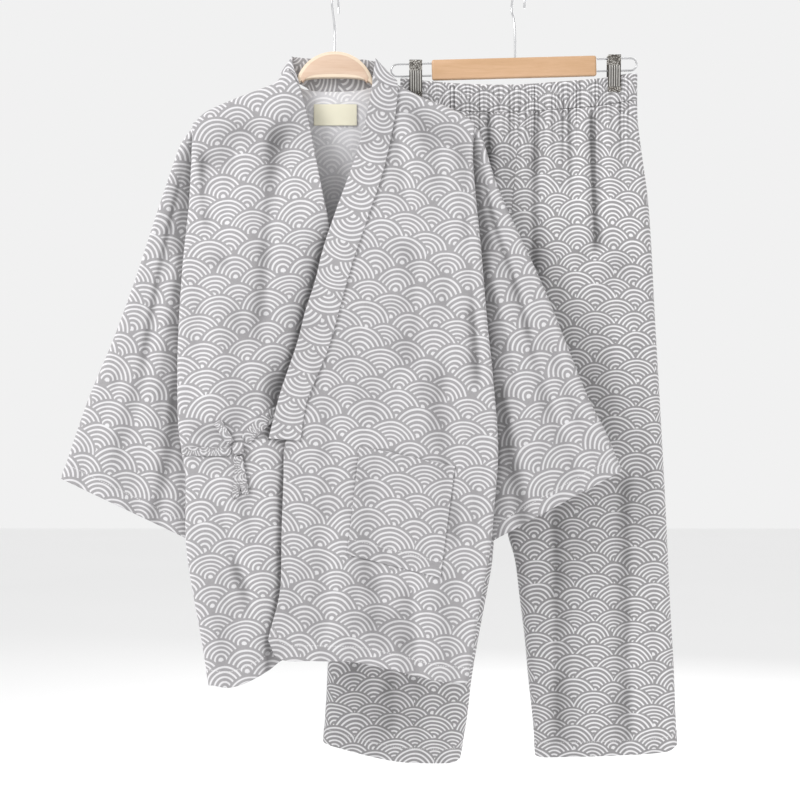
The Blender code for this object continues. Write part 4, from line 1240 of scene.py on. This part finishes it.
make_tie("tie_side", ribbon_place([(-194, -610), (-170, -610), (-131, -610)], 11.5, 0.0, 1.0), 10, 40,
         (0.0115, 0.063))
make_tie("tie_front", ribbon_place([(-72, -557), (-92, -573), (-114, -596)], 16.0, 0.0, 1.3), 12, 36,
         (0.016, 0.058))
make_tie("tie_tail_long",
         ribbon_place([(-121, -616), (-118, -634), (-115, -650), (-112, -665)], 9.5, 2.1, 0.8), 8, 36,
         (0.010, 0.050))
make_tie("tie_tail_short",
         ribbon_place([(-124, -616), (-122, -634), (-123, -652), (-126, -670)], 9.5, 0.0, 0.8), 8, 36,
         (0.010, 0.054))
print("Ties laid on the front: 4")


# %% The loop of the half bow
LOOP_LEG = 0.42             # share of the strip that runs out, and as much runs back
LOOP_BEND = 0.16            # share of the strip in the bend at the tip
LOOP_RISE = 2.6             # half the height of the loop
LOOP_WIDTH = 11.0


def loop_place(u, v):
    """A strip out from the knot and back over itself."""
    knot, tip = Vector((-131, -599)), Vector((-149, -572))
    out = (tip - knot).normalized()
    reach = (tip - knot).length * 0.93
    turn = (v - LOOP_LEG) / LOOP_BEND
    if turn <= 0:
        along, lift = reach * v / LOOP_LEG, 0.0
    elif turn < 1:
        along, lift = reach + 3.0 * sin(pi * turn), LOOP_RISE * (1 - cos(pi * turn))
    else:
        along, lift = reach * (1 - v) / LOOP_LEG, 2 * LOOP_RISE
    half = LOOP_WIDTH / 2 * (2 * u - 1) * (1 - 0.3 * exp(-along / 6))
    x = knot.x + out.x * along - out.y * half
    z = knot.y + out.y * along + out.x * half
    return Vector((x, under_y(x, z) - 0.5 - lift, z))


make_tie("tie_loop", loop_place, 10, 60, (0.011, 0.066))
print("Loop of the bow made")


# %% The knot
KNOT = Vector((-122, 0, -606))
KNOT_SIZE = (15.0, 8.0, 16.0)
KNOT_ROUND = 0.62           # how far the block is drawn towards a ball
bm = bmesh.new()
bmesh.ops.create_cube(bm, size=1.0)
bmesh.ops.subdivide_edges(bm, edges=bm.edges, cuts=14, use_grid_fill=True)
knot_y = under_y(KNOT.x, KNOT.z) - 0.5 - KNOT_SIZE[1] / 2
for vert in bm.verts:
    ball = vert.co.normalized() * 0.5
    soft = vert.co.lerp(ball, KNOT_ROUND)
    wrap = 0.05 * sin(16 * (soft.x * 0.7 + soft.z * 0.7) + 2 * soft.y)
    soft *= 1 + wrap
    vert.co = Vector((soft.x * KNOT_SIZE[0], soft.y * KNOT_SIZE[1], soft.z * KNOT_SIZE[2])) + Vector(
        (KNOT.x, knot_y, KNOT.z))
cut = bm.loops.layers.uv.new("cut")
for face in bm.faces:
    for loop in face.loops:
        loop[cut].uv = Vector((loop.vert.co.z * 1.4 + 30, loop.vert.co.x)) * MM
knot = hang(bm, "tie_knot", JACKET_PLANE, [jacket_cloth], ["tie_knot"])
print("Knot:", knot.name)

# %% [markdown]
# ## The trousers
# Four panels make the trousers, two for each leg. They meet down the middle, at the sides
# and along the inside of the legs. The elastic gathers their upper edges into many small
# folds, which die out a hand's width below the waist.

# %% Outlines of the trousers
WAIST_TOP = [(-153, -112), (-100, -118), (-46, -121), (5, -121), (62, -117), (112, -113), (148, -107),
             (163, -106)]
WAIST_DEPTH = 36.0
WAIST_HALF = 7.0
LEG_HALF = 18.0
LEG_ROUND = 16.0
LEG_LENGTH = 872.0
CROTCH_Z = -468.0
SIDE_SEAM_RIGHT = [(-153, -148.7), (-158, -180), (-168, -250), (-180, -340), (-196, -460), (-214, -600),
                   (-230, -730), (-243, -840), (-251, -896), (-254, -949), (-258, -1007)]
SIDE_SEAM_LEFT = [(163, -142.7), (164, -170), (171, -221), (178, -270), (183, -330), (189, -430), (197, -550),
                  (205, -676), (213, -820), (218, -894), (222, -976), (224, -1010)]
CENTRE_SEAM = [(5, -157.7), (4, -190), (-4, -280), (-12, -370), (-20, -468)]
INSEAM_RIGHT = [(-20, -468), (-22, -568), (-24, -676), (-28, -758), (-37, -812), (-47, -867), (-56, -922),
                (-62, -976), (-71, -1029)]
INSEAM_LEFT = [(-20, -468), (-16, -568), (-12, -649), (-8, -721), (2, -758), (9, -812), (16, -867),
               (21, -922), (27, -976), (31, -1026)]
LEG_HEM_RIGHT = [(-71, -1029), (-83, -1033), (-113, -1034), (-153, -1032), (-187, -1026), (-228, -1015),
                 (-258, -1007)]
LEG_HEM_LEFT = [(31, -1026), (90, -1025), (144, -1023), (207, -1018), (224, -1010)]
TROUSER_FOLDS = [
    (-20, -160, -24, -290, 8, 7, 4.0),
    (-34, -160, -40, -280, 6, 7, -4.0),
    (26, -165, 24, -560, 9, 13, -8.0),
    (42, -160, 44, -250, 4, 6, 2.2),
    (89, -160, 94, -330, 11, 7, 4.0),
    (101, -165, 108, -340, 6, 9, -4.5),
    (121, -165, 128, -290, 8, 8, 2.0),
    (-70, -165, -88, -330, 10, 10, 2.6),
    (-118, -165, -130, -300, 10, 10, 2.4),
    (56, -600, 62, -1000, 12, 20, -4.5),
    (148, -640, 152, -1000, 20, 12, -4.0),
    (104, -640, 108, -980, 22, 20, 1.6),
    (140, -380, 150, -640, 16, 20, 1.4),
    (70, -330, 84, -600, 14, 22, 1.4),
    (-150, -700, -170, -980, 16, 16, -2.4),
    (-100, -760, -112, -1010, 16, 14, 1.8),
]
print("Outer leg in mm:", round(WAIST_TOP[0][1] - SIDE_SEAM_RIGHT[-1][1]))


# %% Gathers under the elastic
def gathers(x, seed):
    """Uneven small pleats, about six to eight millimetres apart."""
    place = x / 6.6 + 1.4 * noise.noise(Vector((x / 19, seed, 0.0)))
    size = 0.65 + 0.75 * noise.noise(Vector((x / 11, seed, 5.0)))
    return sin(2 * pi * place) * max(0.2, size)


def pleats(x, seed):
    """Wider folds between the gathers, which reach further down."""
    return 4.2 * noise.noise(Vector((x / 8.5, seed, 14.0))) + 2.2 * noise.noise(Vector((x / 21, seed, 17.0)))


def gather_fade(down, x, seed):
    """How much of a gather is left at a depth below the waistband; some reach further."""
    reach = 34 + 26 * noise.noise(Vector((x / 14, seed, 9.0)))
    return exp(-max(0.0, down) / max(12.0, reach))


print("Gather at the middle in mm:", round(gathers(0, 2.0), 2))


# %% Where a leg's points go
def leg_half(z):
    return WAIST_HALF + (LEG_HALF - WAIST_HALF) * ease((-155 - z) / 170)


def leg_place(side, inner, hem, face):
    """Where a panel's point at (u, v) goes: u from the centre seam and inseam out to the side."""
    outward = 1 if side[0][0] > 0 else -1
    top = [(x, z - WAIST_DEPTH - 0.1) for x, z in WAIST_TOP if (x - CENTRE_SEAM[0][0]) * outward >= 0]
    top.sort(key=lambda place: place[0] * outward)
    flat = patch(line(CENTRE_SEAM[:-1] + inner), line(side), line(top), line(hem))
    seed = 20.0 + 3 * face

    def at(u, v):
        part = (1 - cos(pi * u)) / 2 * 0.6 + u * 0.4
        x, z = flat(part, v)
        x0, x1 = flat(0, v)[0], flat(1, v)[0]
        full = leg_half(z)
        out = round_off(abs(x1 - x), min(LEG_ROUND, full * 0.9))
        parted = ease((CROTCH_Z + 110 - z) / 110)
        within = 1 - parted + parted * round_off(abs(x - x0), LEG_ROUND)
        fold = raised(TROUSER_FOLDS, x, z) + uneven(x, z, seed) * 1.1
        fold *= ease(abs(x1 - x) / 40) * (1 - parted * (1 - ease(abs(x - x0) / 25)))
        down = -v * LEG_LENGTH
        ripple = 1.5 * gathers(x, seed) * gather_fade(-down, x, seed) * ease(abs(x1 - x) / 12)
        ripple += 0.8 * pleats(x, seed) * exp(down / 95) * ease(abs(x1 - x) / 20)
        y = (full + fold) * out * within + ripple + SEAM_TURN
        return Vector((x + outward * SEAM / 2 * (1 - part), y * face, z))
    return at


print("Half the depth of a leg in mm:", LEG_HALF)

# %% Make the four panels
LEG_FINE = [0.25, 2, 4, 7, 10, 14, 18, 23, 28, 34, 40, 47, 54, 62, 70, 80]
LEG_ROWS = shares(110, LEG_LENGTH, LEG_FINE + [LEG_LENGTH - d for d in HEM_FINE])
LEG_COLUMNS = shares(150)


def make_leg(name, side, inner, hem_line, face):
    bm, rows = grid_panel(leg_place(side, inner, hem_line, face), LEG_COLUMNS, LEG_ROWS)
    face_out(bm, lambda p: Vector((0, face, 0)))
    fullness = [1 + 0.20 * exp(-v * LEG_LENGTH / 60) + 0.07 * ease(1.4 - 3 * v) for v in LEG_ROWS]
    hem, edge, _ = record_cut(bm, rows, lay_flat(rows, 75, 0.0, fullness))
    press_hem(rows, hem, edge)
    piece = thicken(hang(bm, name, TROUSER_PLANE, [trouser_cloth, wrong_side], [name]), CLOTH)
    return piece


legs = []
for face, part in ((-1, "front"), (1, "back")):
    legs.append(make_leg("trousers_%s_right" % part, SIDE_SEAM_RIGHT, INSEAM_RIGHT, LEG_HEM_RIGHT, face))
    legs.append(make_leg("trousers_%s_left" % part, SIDE_SEAM_LEFT, INSEAM_LEFT, LEG_HEM_LEFT, face))
print("Leg panels:", len(legs))

# %% [markdown]
# ## The waistband
# The casing is a ring of cloth drawn up by the elastic inside it. Seen from the front it
# is all small upright folds, pressed flat only where the clips hold it.

# %% Make the waistband
CLIP_X = (-132.5, 131.5)
waist_line = line(WAIST_TOP)
WAIST_LEFT, WAIST_RIGHT = WAIST_TOP[0][0], WAIST_TOP[-1][0]
WAIST_CUT = 880.0
WAIST_STEPS = 960


def waist_place(u, v):
    """u goes once round the waist, v from its upper edge down."""
    turn = (2 * u) % 2
    face = -1 if turn < 1 else 1
    share = turn if turn < 1 else 2 - turn
    share = (1 - cos(pi * share)) / 2 * 0.25 + share * 0.75
    x = WAIST_LEFT + (WAIST_RIGHT - WAIST_LEFT) * share
    end = min(x - WAIST_LEFT, WAIST_RIGHT - x)
    pinch = max(exp(-((x - c) / 16) ** 4) for c in CLIP_X)
    half = (WAIST_HALF - (WAIST_HALF - 4.4) * pinch) * round_off(end + 0.35 * (face < 0), 7)
    seed = 20.0 + 3 * face
    uneven_pitch = noise.noise(Vector((x / 7, v * 3, seed)))
    wave = 1.5 * gathers(x, seed) + 0.35 * sin(2 * pi * x / 2.6 + 2 * uneven_pitch)
    wave += pleats(x, seed) * 0.8 * v
    belly = 0.5 * sin(pi * v) + SEAM_TURN * v
    rolled = -1.2 * exp(-v / 0.04)
    groove = -0.5 * exp(-((v - 0.18) / 0.035) ** 2)
    wave *= (1 - 0.65 * pinch) * ease(end / 10) * (0.75 + 0.25 * v)
    return Vector((x, face * max(0.0, half + (wave + belly + rolled + groove) * ease(end / 6)),
                   waist_line(share)[1] - v * WAIST_DEPTH))


bm, rows = grid_panel(waist_place, shares(WAIST_STEPS), shares(20, WAIST_DEPTH, [0.25, WAIST_DEPTH - 0.25]))
face_out(bm, lambda p: Vector((0, p.y, 0)))
flat = {}
for row in rows:
    for k, vert in enumerate(row):
        flat[vert] = (WAIST_CUT * k / WAIST_STEPS, vert.co.z)
record_cut(bm, rows, flat)
bmesh.ops.remove_doubles(bm, verts=bm.verts, dist=0.02)
waistband = thicken(hang(bm, "trousers_waistband", TROUSER_PLANE, [trouser_cloth],
                         ["trousers_waistband"]), 1.6)
print("Waistband:", waistband.name)

# %% [markdown]
# ## The hooks and wires
# A hook is one bent wire, so a curve with a round bevel is the plainest way to make it: the
# curve gives the way the wire goes, and its bevel depth gives the wire its thickness.

# %% Polished steel
steel, tree, shader = new_material("polished_steel", 0.22)
shader.inputs["Metallic"].default_value = 1.0
where = node(tree, "ShaderNodeTexCoord").outputs["Object"]
marks = node(tree, "ShaderNodeTexNoise", Vector=where, Scale=900.0, Detail=3.0).outputs["Fac"]
paint(tree, shader, marks, (0.52, 0.52, 0.53, 1.0), (0.70, 0.70, 0.71, 1.0))
tree.links.new(calc(tree, 'MULTIPLY_ADD', marks, 0.2, 0.14), shader.inputs["Roughness"])
print("Metal:", steel.name)


# %% Wires along a route
def make_wire(name, points, radius, plane, node_name):
    """A round wire through points in millimetres."""
    data = bpy.data.curves.new(name, 'CURVE')
    data.dimensions = '3D'
    data.bevel_depth = radius * MM
    data.bevel_resolution = 5
    data.use_fill_caps = True
    spline = data.splines.new('POLY')
    spline.points.add(len(points) - 1)
    for point, place in zip(spline.points, points):
        point.co = (*(plane @ (Vector(place) * MM)), 1)
    data.materials.append(steel)
    piece = bpy.data.objects.new(piece_name(name), data)
    scene.collection.objects.link(piece)
    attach(piece, "root")
    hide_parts(node_name)
    return piece


def hook_points(turn, shaft_y, foot_z):
    """A straight shaft, then a round bow that starts on the shaft's own side."""
    bore, wire = 18.0, 1.6
    spin = radians(turn)
    centre = -shaft_y / cos(spin)
    side = 1 if shaft_y > 0 else -1
    route = [(0, foot_z), (0, foot_z * 0.6 - 21), (side, -48)]
    for degrees in range(-45, 199, 27):
        a = radians(degrees)
        route.append((centre + side * (bore + wire) * cos(a), (bore + wire) * sin(a) - bore))
    run = line(route)
    places = [run(k / 130) for k in range(131)]
    return [(-sin(spin) * across, cos(spin) * across, z) for across, z in places]


MOON_TOP = -81.5
BAR = (219.0, 12.0, 27.0)
BAR_CENTRE = (-1.5, -99.0)
make_wire("jacket_hook", hook_points(-11.0, -3.0, MOON_TOP + SEAM), 1.6, JACKET_PLANE, "jacket_hook")
make_wire("trouser_hook", hook_points(22.0, 8.0, BAR_CENTRE[1] + BAR[2] / 2 + SEAM), 1.6, TROUSER_PLANE,
          "trouser_hook")
print("Hooks made: 2")

# %% The wire loops at the bar's ends
WIRE_RISE = 8.0
WIRE_REACH = 54.0
BAR_SLOPE = radians(1.5)


def bar_z(x):
    """Height of the middle of the wires, which slope with the bar."""
    return BAR_CENTRE[1] + 1 + (x - BAR_CENTRE[0]) * sin(BAR_SLOPE)


for side, outward in (("right", -1), ("left", 1)):
    start = BAR_CENTRE[0] + outward * (BAR[0] / 2 + SEAM)
    reach = BAR_CENTRE[0] + outward * (BAR[0] / 2 + WIRE_REACH - WIRE_RISE)
    points = [(start, 0, bar_z(start) + WIRE_RISE)]
    for degrees in range(90, -91, -10):
        a = radians(degrees)
        points.append((reach + outward * WIRE_RISE * cos(a), 0, bar_z(reach) + WIRE_RISE * sin(a)))
    points.append((start, 0, bar_z(start) - WIRE_RISE))
    make_wire("trouser_wire_" + side, points, 1.3, TROUSER_PLANE, "trouser_wire_" + side)
print("Wire loops made: 2")

# %% [markdown]
# ## Wood for the hangers
# Lotus wood and pine look much alike from here: long soft streaks of a darker tone, fine
# pores, and a satin surface. Stretched noise gives the streaks, and it runs through the
# solid, so that the end of the bar shows the same growth as its face.


# %% Two woods
def make_wood(name, pale, dark, streaks, knot=None):
    """Wood with its grain along x; knot, if given, is the centre of a small darkened spot."""
    made, tree, shader = new_material(name, 0.42)
    where = node(tree, "ShaderNodeTexCoord").outputs["Object"]
    stretched = node(tree, "ShaderNodeMapping", Vector=where)
    stretched.inputs["Scale"].default_value = (0.09, 1.0, 1.0)
    broad = node(tree, "ShaderNodeTexNoise", Vector=stretched.outputs[0], Scale=streaks, Detail=4.0,
                 Distortion=0.6).outputs["Fac"]
    fine = node(tree, "ShaderNodeTexNoise", Vector=stretched.outputs[0], Scale=streaks * 9,
                Detail=2.0).outputs["Fac"]
    grain = calc(tree, 'MULTIPLY_ADD', fine, 0.35, calc(tree, 'MULTIPLY', broad, 0.75))
    tone = mix_colour(tree, smooth_step(tree, grain, 0.30, 0.80), (*pale, 1.0), (*dark, 1.0))
    # A small spot round the given place is darkened towards a deep brown.
    if knot:
        apart = node(tree, "ShaderNodeVectorMath", {"operation": 'DISTANCE'}, Vector=where)
        apart.inputs[1].default_value = knot
        spot = smooth_step(tree, apart.outputs["Value"], 0.0042, 0.0016)
        darkest = tuple(0.45 * c for c in dark) + (1.0,)
        tone = mix_colour(tree, calc(tree, 'MULTIPLY', spot, 0.75), tone, darkest)
    tree.links.new(tone, shader.inputs["Base Color"])
    tree.links.new(calc(tree, 'MULTIPLY_ADD', grain, 0.25, 0.30), shader.inputs["Roughness"])
    bump = node(tree, "ShaderNodeBump", Height=grain, Distance=0.0003, Strength=0.35)
    tree.links.new(bump.outputs[0], shader.inputs["Normal"])
    return made


pale_wood = make_wood("pale_wood", (0.70, 0.53, 0.41), (0.60, 0.42, 0.30), 60.0)
rim_wood = make_wood("pale_wood_rim", (0.82, 0.69, 0.54), (0.74, 0.59, 0.44), 60.0)
warm_wood = make_wood("warm_wood", (0.66, 0.42, 0.255), (0.55, 0.335, 0.18), 70.0, (0.266, -0.012, -0.0875))
print("Woods:", pale_wood.name, rim_wood.name, warm_wood.name)

# %% [markdown]
# ## The jacket's hanger
# A half moon of pale wood stands in the neck, and a thin arm runs out under each shoulder.
# Each outline is one face that is extruded and bevelled. The panel is drawn in from the rim
# and stands a little proud of it, and the step between them is the fine line on the wood.

# %% The half moon's rim and the panel inside it
MOON_RADIUS = 52.0
HANGER_HALF = 5.0
MOON_RIM = 4.2
MOON_BASE = [(49.0, -126.8), (43.5, -121.6), (37, -118.6), (29, -117.0), (15, -116.2), (0, -116.0)]


def plank(bm, outline, half, bevel, look):
    """Push an outline through the hanger's thickness and round its long edges."""
    known = set(bm.faces)
    face = bm.faces.new([bm.verts.new((x, -half, z)) for x, z in outline])
    pushed = bmesh.ops.extrude_face_region(bm, geom=[face])["geom"]
    far_side = [one for one in pushed if isinstance(one, bmesh.types.BMVert)]
    bmesh.ops.translate(bm, vec=(0, 2 * half, 0), verts=far_side)
    solid = [one for one in bm.faces if one not in known]
    bmesh.ops.recalc_face_normals(bm, faces=solid)
    for one in solid:
        one.material_index = look
    rims = {e for one in solid for e in one.edges if abs(e.verts[0].co.y - e.verts[1].co.y) < 1e-6}
    bmesh.ops.bevel(bm, geom=list(rims), offset=bevel, segments=2, affect='EDGES', profile=0.5, material=-1,
                    clamp_overlap=True)
    bmesh.ops.triangulate(bm, faces=[one for one in bm.faces if one not in known and len(one.verts) > 4])


def moon(rim):
    """The half moon's outline, drawn in from its edge by the rim's width."""
    radius = MOON_RADIUS - rim
    low = -124.6 + rim * 1.3
    arc = []
    for degrees in range(-90, 91, 5):
        a = radians(degrees)
        x, z = radius * sin(a), MOON_TOP - MOON_RADIUS + radius * cos(a)
        if z > low:
            arc.append((x, z))
    inward = (arc[-1][0] - 0.6 * rim) / MOON_BASE[0][0]
    base = [(x * inward, z + rim) for x, z in MOON_BASE]
    return arc + base + [(-x, z) for x, z in reversed(base[:-1])]


bm = bmesh.new()
plank(bm, moon(0.0), HANGER_HALF, 1.0, 1)
plank(bm, moon(MOON_RIM), HANGER_HALF + 0.35, 0.3, 0)
print("Half moon faces:", len(bm.faces))

# %% The arms
HANGER_ARMS = [(50, -119, -131), (58, -120.5, -138), (79, -127.5, -144), (118, -146.6, -160),
               (152, -159.8, -172), (172, -170.5, -181.5)]
for outward in (-1, 1):
    arm = [(outward * x, top) for x, top, _ in HANGER_ARMS]
    plank(bm, arm + [(outward * x, bottom) for x, _, bottom in reversed(HANGER_ARMS)], HANGER_HALF, 1.2, 1)
hanger = hang(bm, "jacket_hanger_wood", JACKET_PLANE, [pale_wood, rim_wood], ["jacket_hanger"])
hanger.data.set_sharp_from_angle(angle=radians(35))
print("Hanger:", hanger.name)

# %% The trousers' bar
bm = bmesh.new()
bmesh.ops.create_cube(bm, size=1.0)
bmesh.ops.scale(bm, vec=BAR, verts=bm.verts)
bmesh.ops.bevel(bm, geom=bm.edges, offset=3.0, segments=5, affect='EDGES', profile=0.5, material=-1)
bmesh.ops.rotate(bm, matrix=Matrix.Rotation(-BAR_SLOPE, 3, 'Y'), verts=bm.verts)
bmesh.ops.translate(bm, vec=(BAR_CENTRE[0], 0, BAR_CENTRE[1]), verts=bm.verts)
bar = hang(bm, "trouser_bar_wood", TROUSER_PLANE, [warm_wood], ["trouser_bar"])
bar.data.set_sharp_from_angle(angle=radians(35))
print("Bar:", bar.name)

# %% [markdown]
# ## The clips
# Each clip is two pressed plates that pinch the waistband, with a spring block between
# them. The plates are cast with a rough head and upright ribs below, so the ribs are real
# steps in the mesh, and the rough parts are bump. The grooves between the ribs take a
# near-black metal, which is painted shade.

# %% Cast metal
cast, tree, shader = new_material("cast_metal", 0.38)
shader.inputs["Metallic"].default_value = 0.9
where = node(tree, "ShaderNodeTexCoord").outputs["Object"]
grit = node(tree, "ShaderNodeTexVoronoi", Vector=where, Scale=650.0).outputs["Distance"]
paint(tree, shader, smooth_step(tree, grit, 0.2, 0.6), (0.60, 0.58, 0.54, 1.0), (0.10, 0.09, 0.08, 1.0))
bump = node(tree, "ShaderNodeBump", Height=grit, Distance=0.0006, Strength=0.8)
tree.links.new(bump.outputs[0], shader.inputs["Normal"])
ribbed, tree, shader = new_material("ribbed_metal", 0.30)
shader.inputs["Metallic"].default_value = 0.9
where = node(tree, "ShaderNodeTexCoord").outputs["Object"]
worn = node(tree, "ShaderNodeTexNoise", Vector=where, Scale=400.0, Detail=2.0).outputs["Fac"]
paint(tree, shader, worn, (0.42, 0.41, 0.39, 1.0), (0.66, 0.64, 0.61, 1.0))
# The gap metal is painted shade: near black, for the grooves between the ribs, mottled by noise.
between, tree, shader = new_material("ribbed_metal_painted_gap_shade", 0.55)
shader.inputs["Metallic"].default_value = 0.6
where = node(tree, "ShaderNodeTexCoord").outputs["Object"]
gap_shade_mottle = node(tree, "ShaderNodeTexNoise", Vector=where, Scale=500.0, Detail=2.0).outputs["Fac"]
paint(tree, shader, gap_shade_mottle, (0.05, 0.047, 0.042, 1.0), (0.13, 0.12, 0.11, 1.0))
print("Clip metals:", cast.name, ribbed.name, between.name)

# %% The plates and spring blocks
CLIP_WIDTH = 17.0
CLIP_HEIGHT = 49.0
CLIP_TOP = 12.5
CLIP_GRIP = 6.2
CLIP_HEAD = 8.4
JAW = 1.6
RIBS = 5
for side, clip_x in (("right", CLIP_X[0]), ("left", CLIP_X[1])):
    top_z = bar_z(clip_x) + CLIP_TOP
    for part, face in (("front", -1), ("back", 1)):
        bm = bmesh.new()
        bmesh.ops.create_grid(bm, x_segments=2 * RIBS + 1, y_segments=7, size=0.5)
        for vert in bm.verts:
            down = 0.5 - vert.co.y
            y = CLIP_HEAD + JAW - (CLIP_HEAD - CLIP_GRIP) * down
            vert.co = Vector((clip_x + vert.co.x * CLIP_WIDTH, face * y, top_z - down * CLIP_HEIGHT))
        face_out(bm, lambda p: Vector((0, face, 0)))
        columns = sorted(bm.faces, key=lambda f: (f.calc_center_median().x, f.calc_center_median().z))
        raised_faces = []
        for k, one in enumerate(columns):
            column, row = divmod(k, 7)
            # Faces between the ribs take the third material, the painted shade of the grooves.
            one.material_index = 0 if row in (0, 5, 6) else 2 - column % 2
            if column % 2 and 1 <= row <= 4:
                raised_faces.append(one)
        bmesh.ops.solidify(bm, geom=bm.faces[:], thickness=JAW)
        ribs = bmesh.ops.extrude_face_region(bm, geom=raised_faces)["geom"]
        rib_verts = [g for g in ribs if isinstance(g, bmesh.types.BMVert)]
        bmesh.ops.delete(bm, geom=raised_faces, context='FACES_ONLY')
        bmesh.ops.translate(bm, vec=(0, face * 0.7, 0), verts=rib_verts)
        bmesh.ops.recalc_face_normals(bm, faces=bm.faces)
        corners = [e for e in bm.edges if e.is_manifold and e.calc_face_angle(0) > radians(60)]
        bmesh.ops.bevel(bm, geom=corners, offset=0.22, segments=2, affect='EDGES', profile=0.5, material=-1)
        name = "clip_%s_%s" % (side, part)
        hang(bm, name, TROUSER_PLANE, [cast, ribbed, between], [name])
    bottom = top_z - CLIP_HEIGHT
    deep = CLIP_GRIP + (CLIP_HEAD - CLIP_GRIP) * (bar_z(clip_x) - WIRE_RISE - bottom) / CLIP_HEIGHT - SEAM
    bm = bmesh.new()
    bmesh.ops.create_cube(bm, size=1.0)
    bmesh.ops.scale(bm, vec=(11, 2 * deep, 2 * (WIRE_RISE - 1.3 - SEAM) - 0.4), verts=bm.verts)
    bmesh.ops.bevel(bm, geom=bm.edges, offset=1.4, segments=4, affect='EDGES', profile=0.5, material=-1)
    bmesh.ops.translate(bm, vec=(clip_x, 0, bar_z(clip_x)), verts=bm.verts)
    hang(bm, "clip_%s_spring" % side, TROUSER_PLANE, [ribbed], ["clip_%s_spring" % side])
print("Clips made: 2")

# %% [markdown]
# ## A pale floor
# The floor only catches the light, so a plain matt material with a trace of unevenness is
# enough. It is finished last because nothing on the set depends on it.

# %% The floor's material
floor_paint, tree, shader = new_material("pale_floor", 0.85)
where = node(tree, "ShaderNodeTexCoord").outputs["Object"]
cloud = node(tree, "ShaderNodeTexNoise", Vector=where, Scale=0.8, Detail=2.0).outputs["Fac"]
paint(tree, shader, cloud, (0.90, 0.90, 0.90, 1.0), (0.93, 0.93, 0.93, 1.0))
floor_mesh.materials.append(floor_paint)
print("Floor painted")
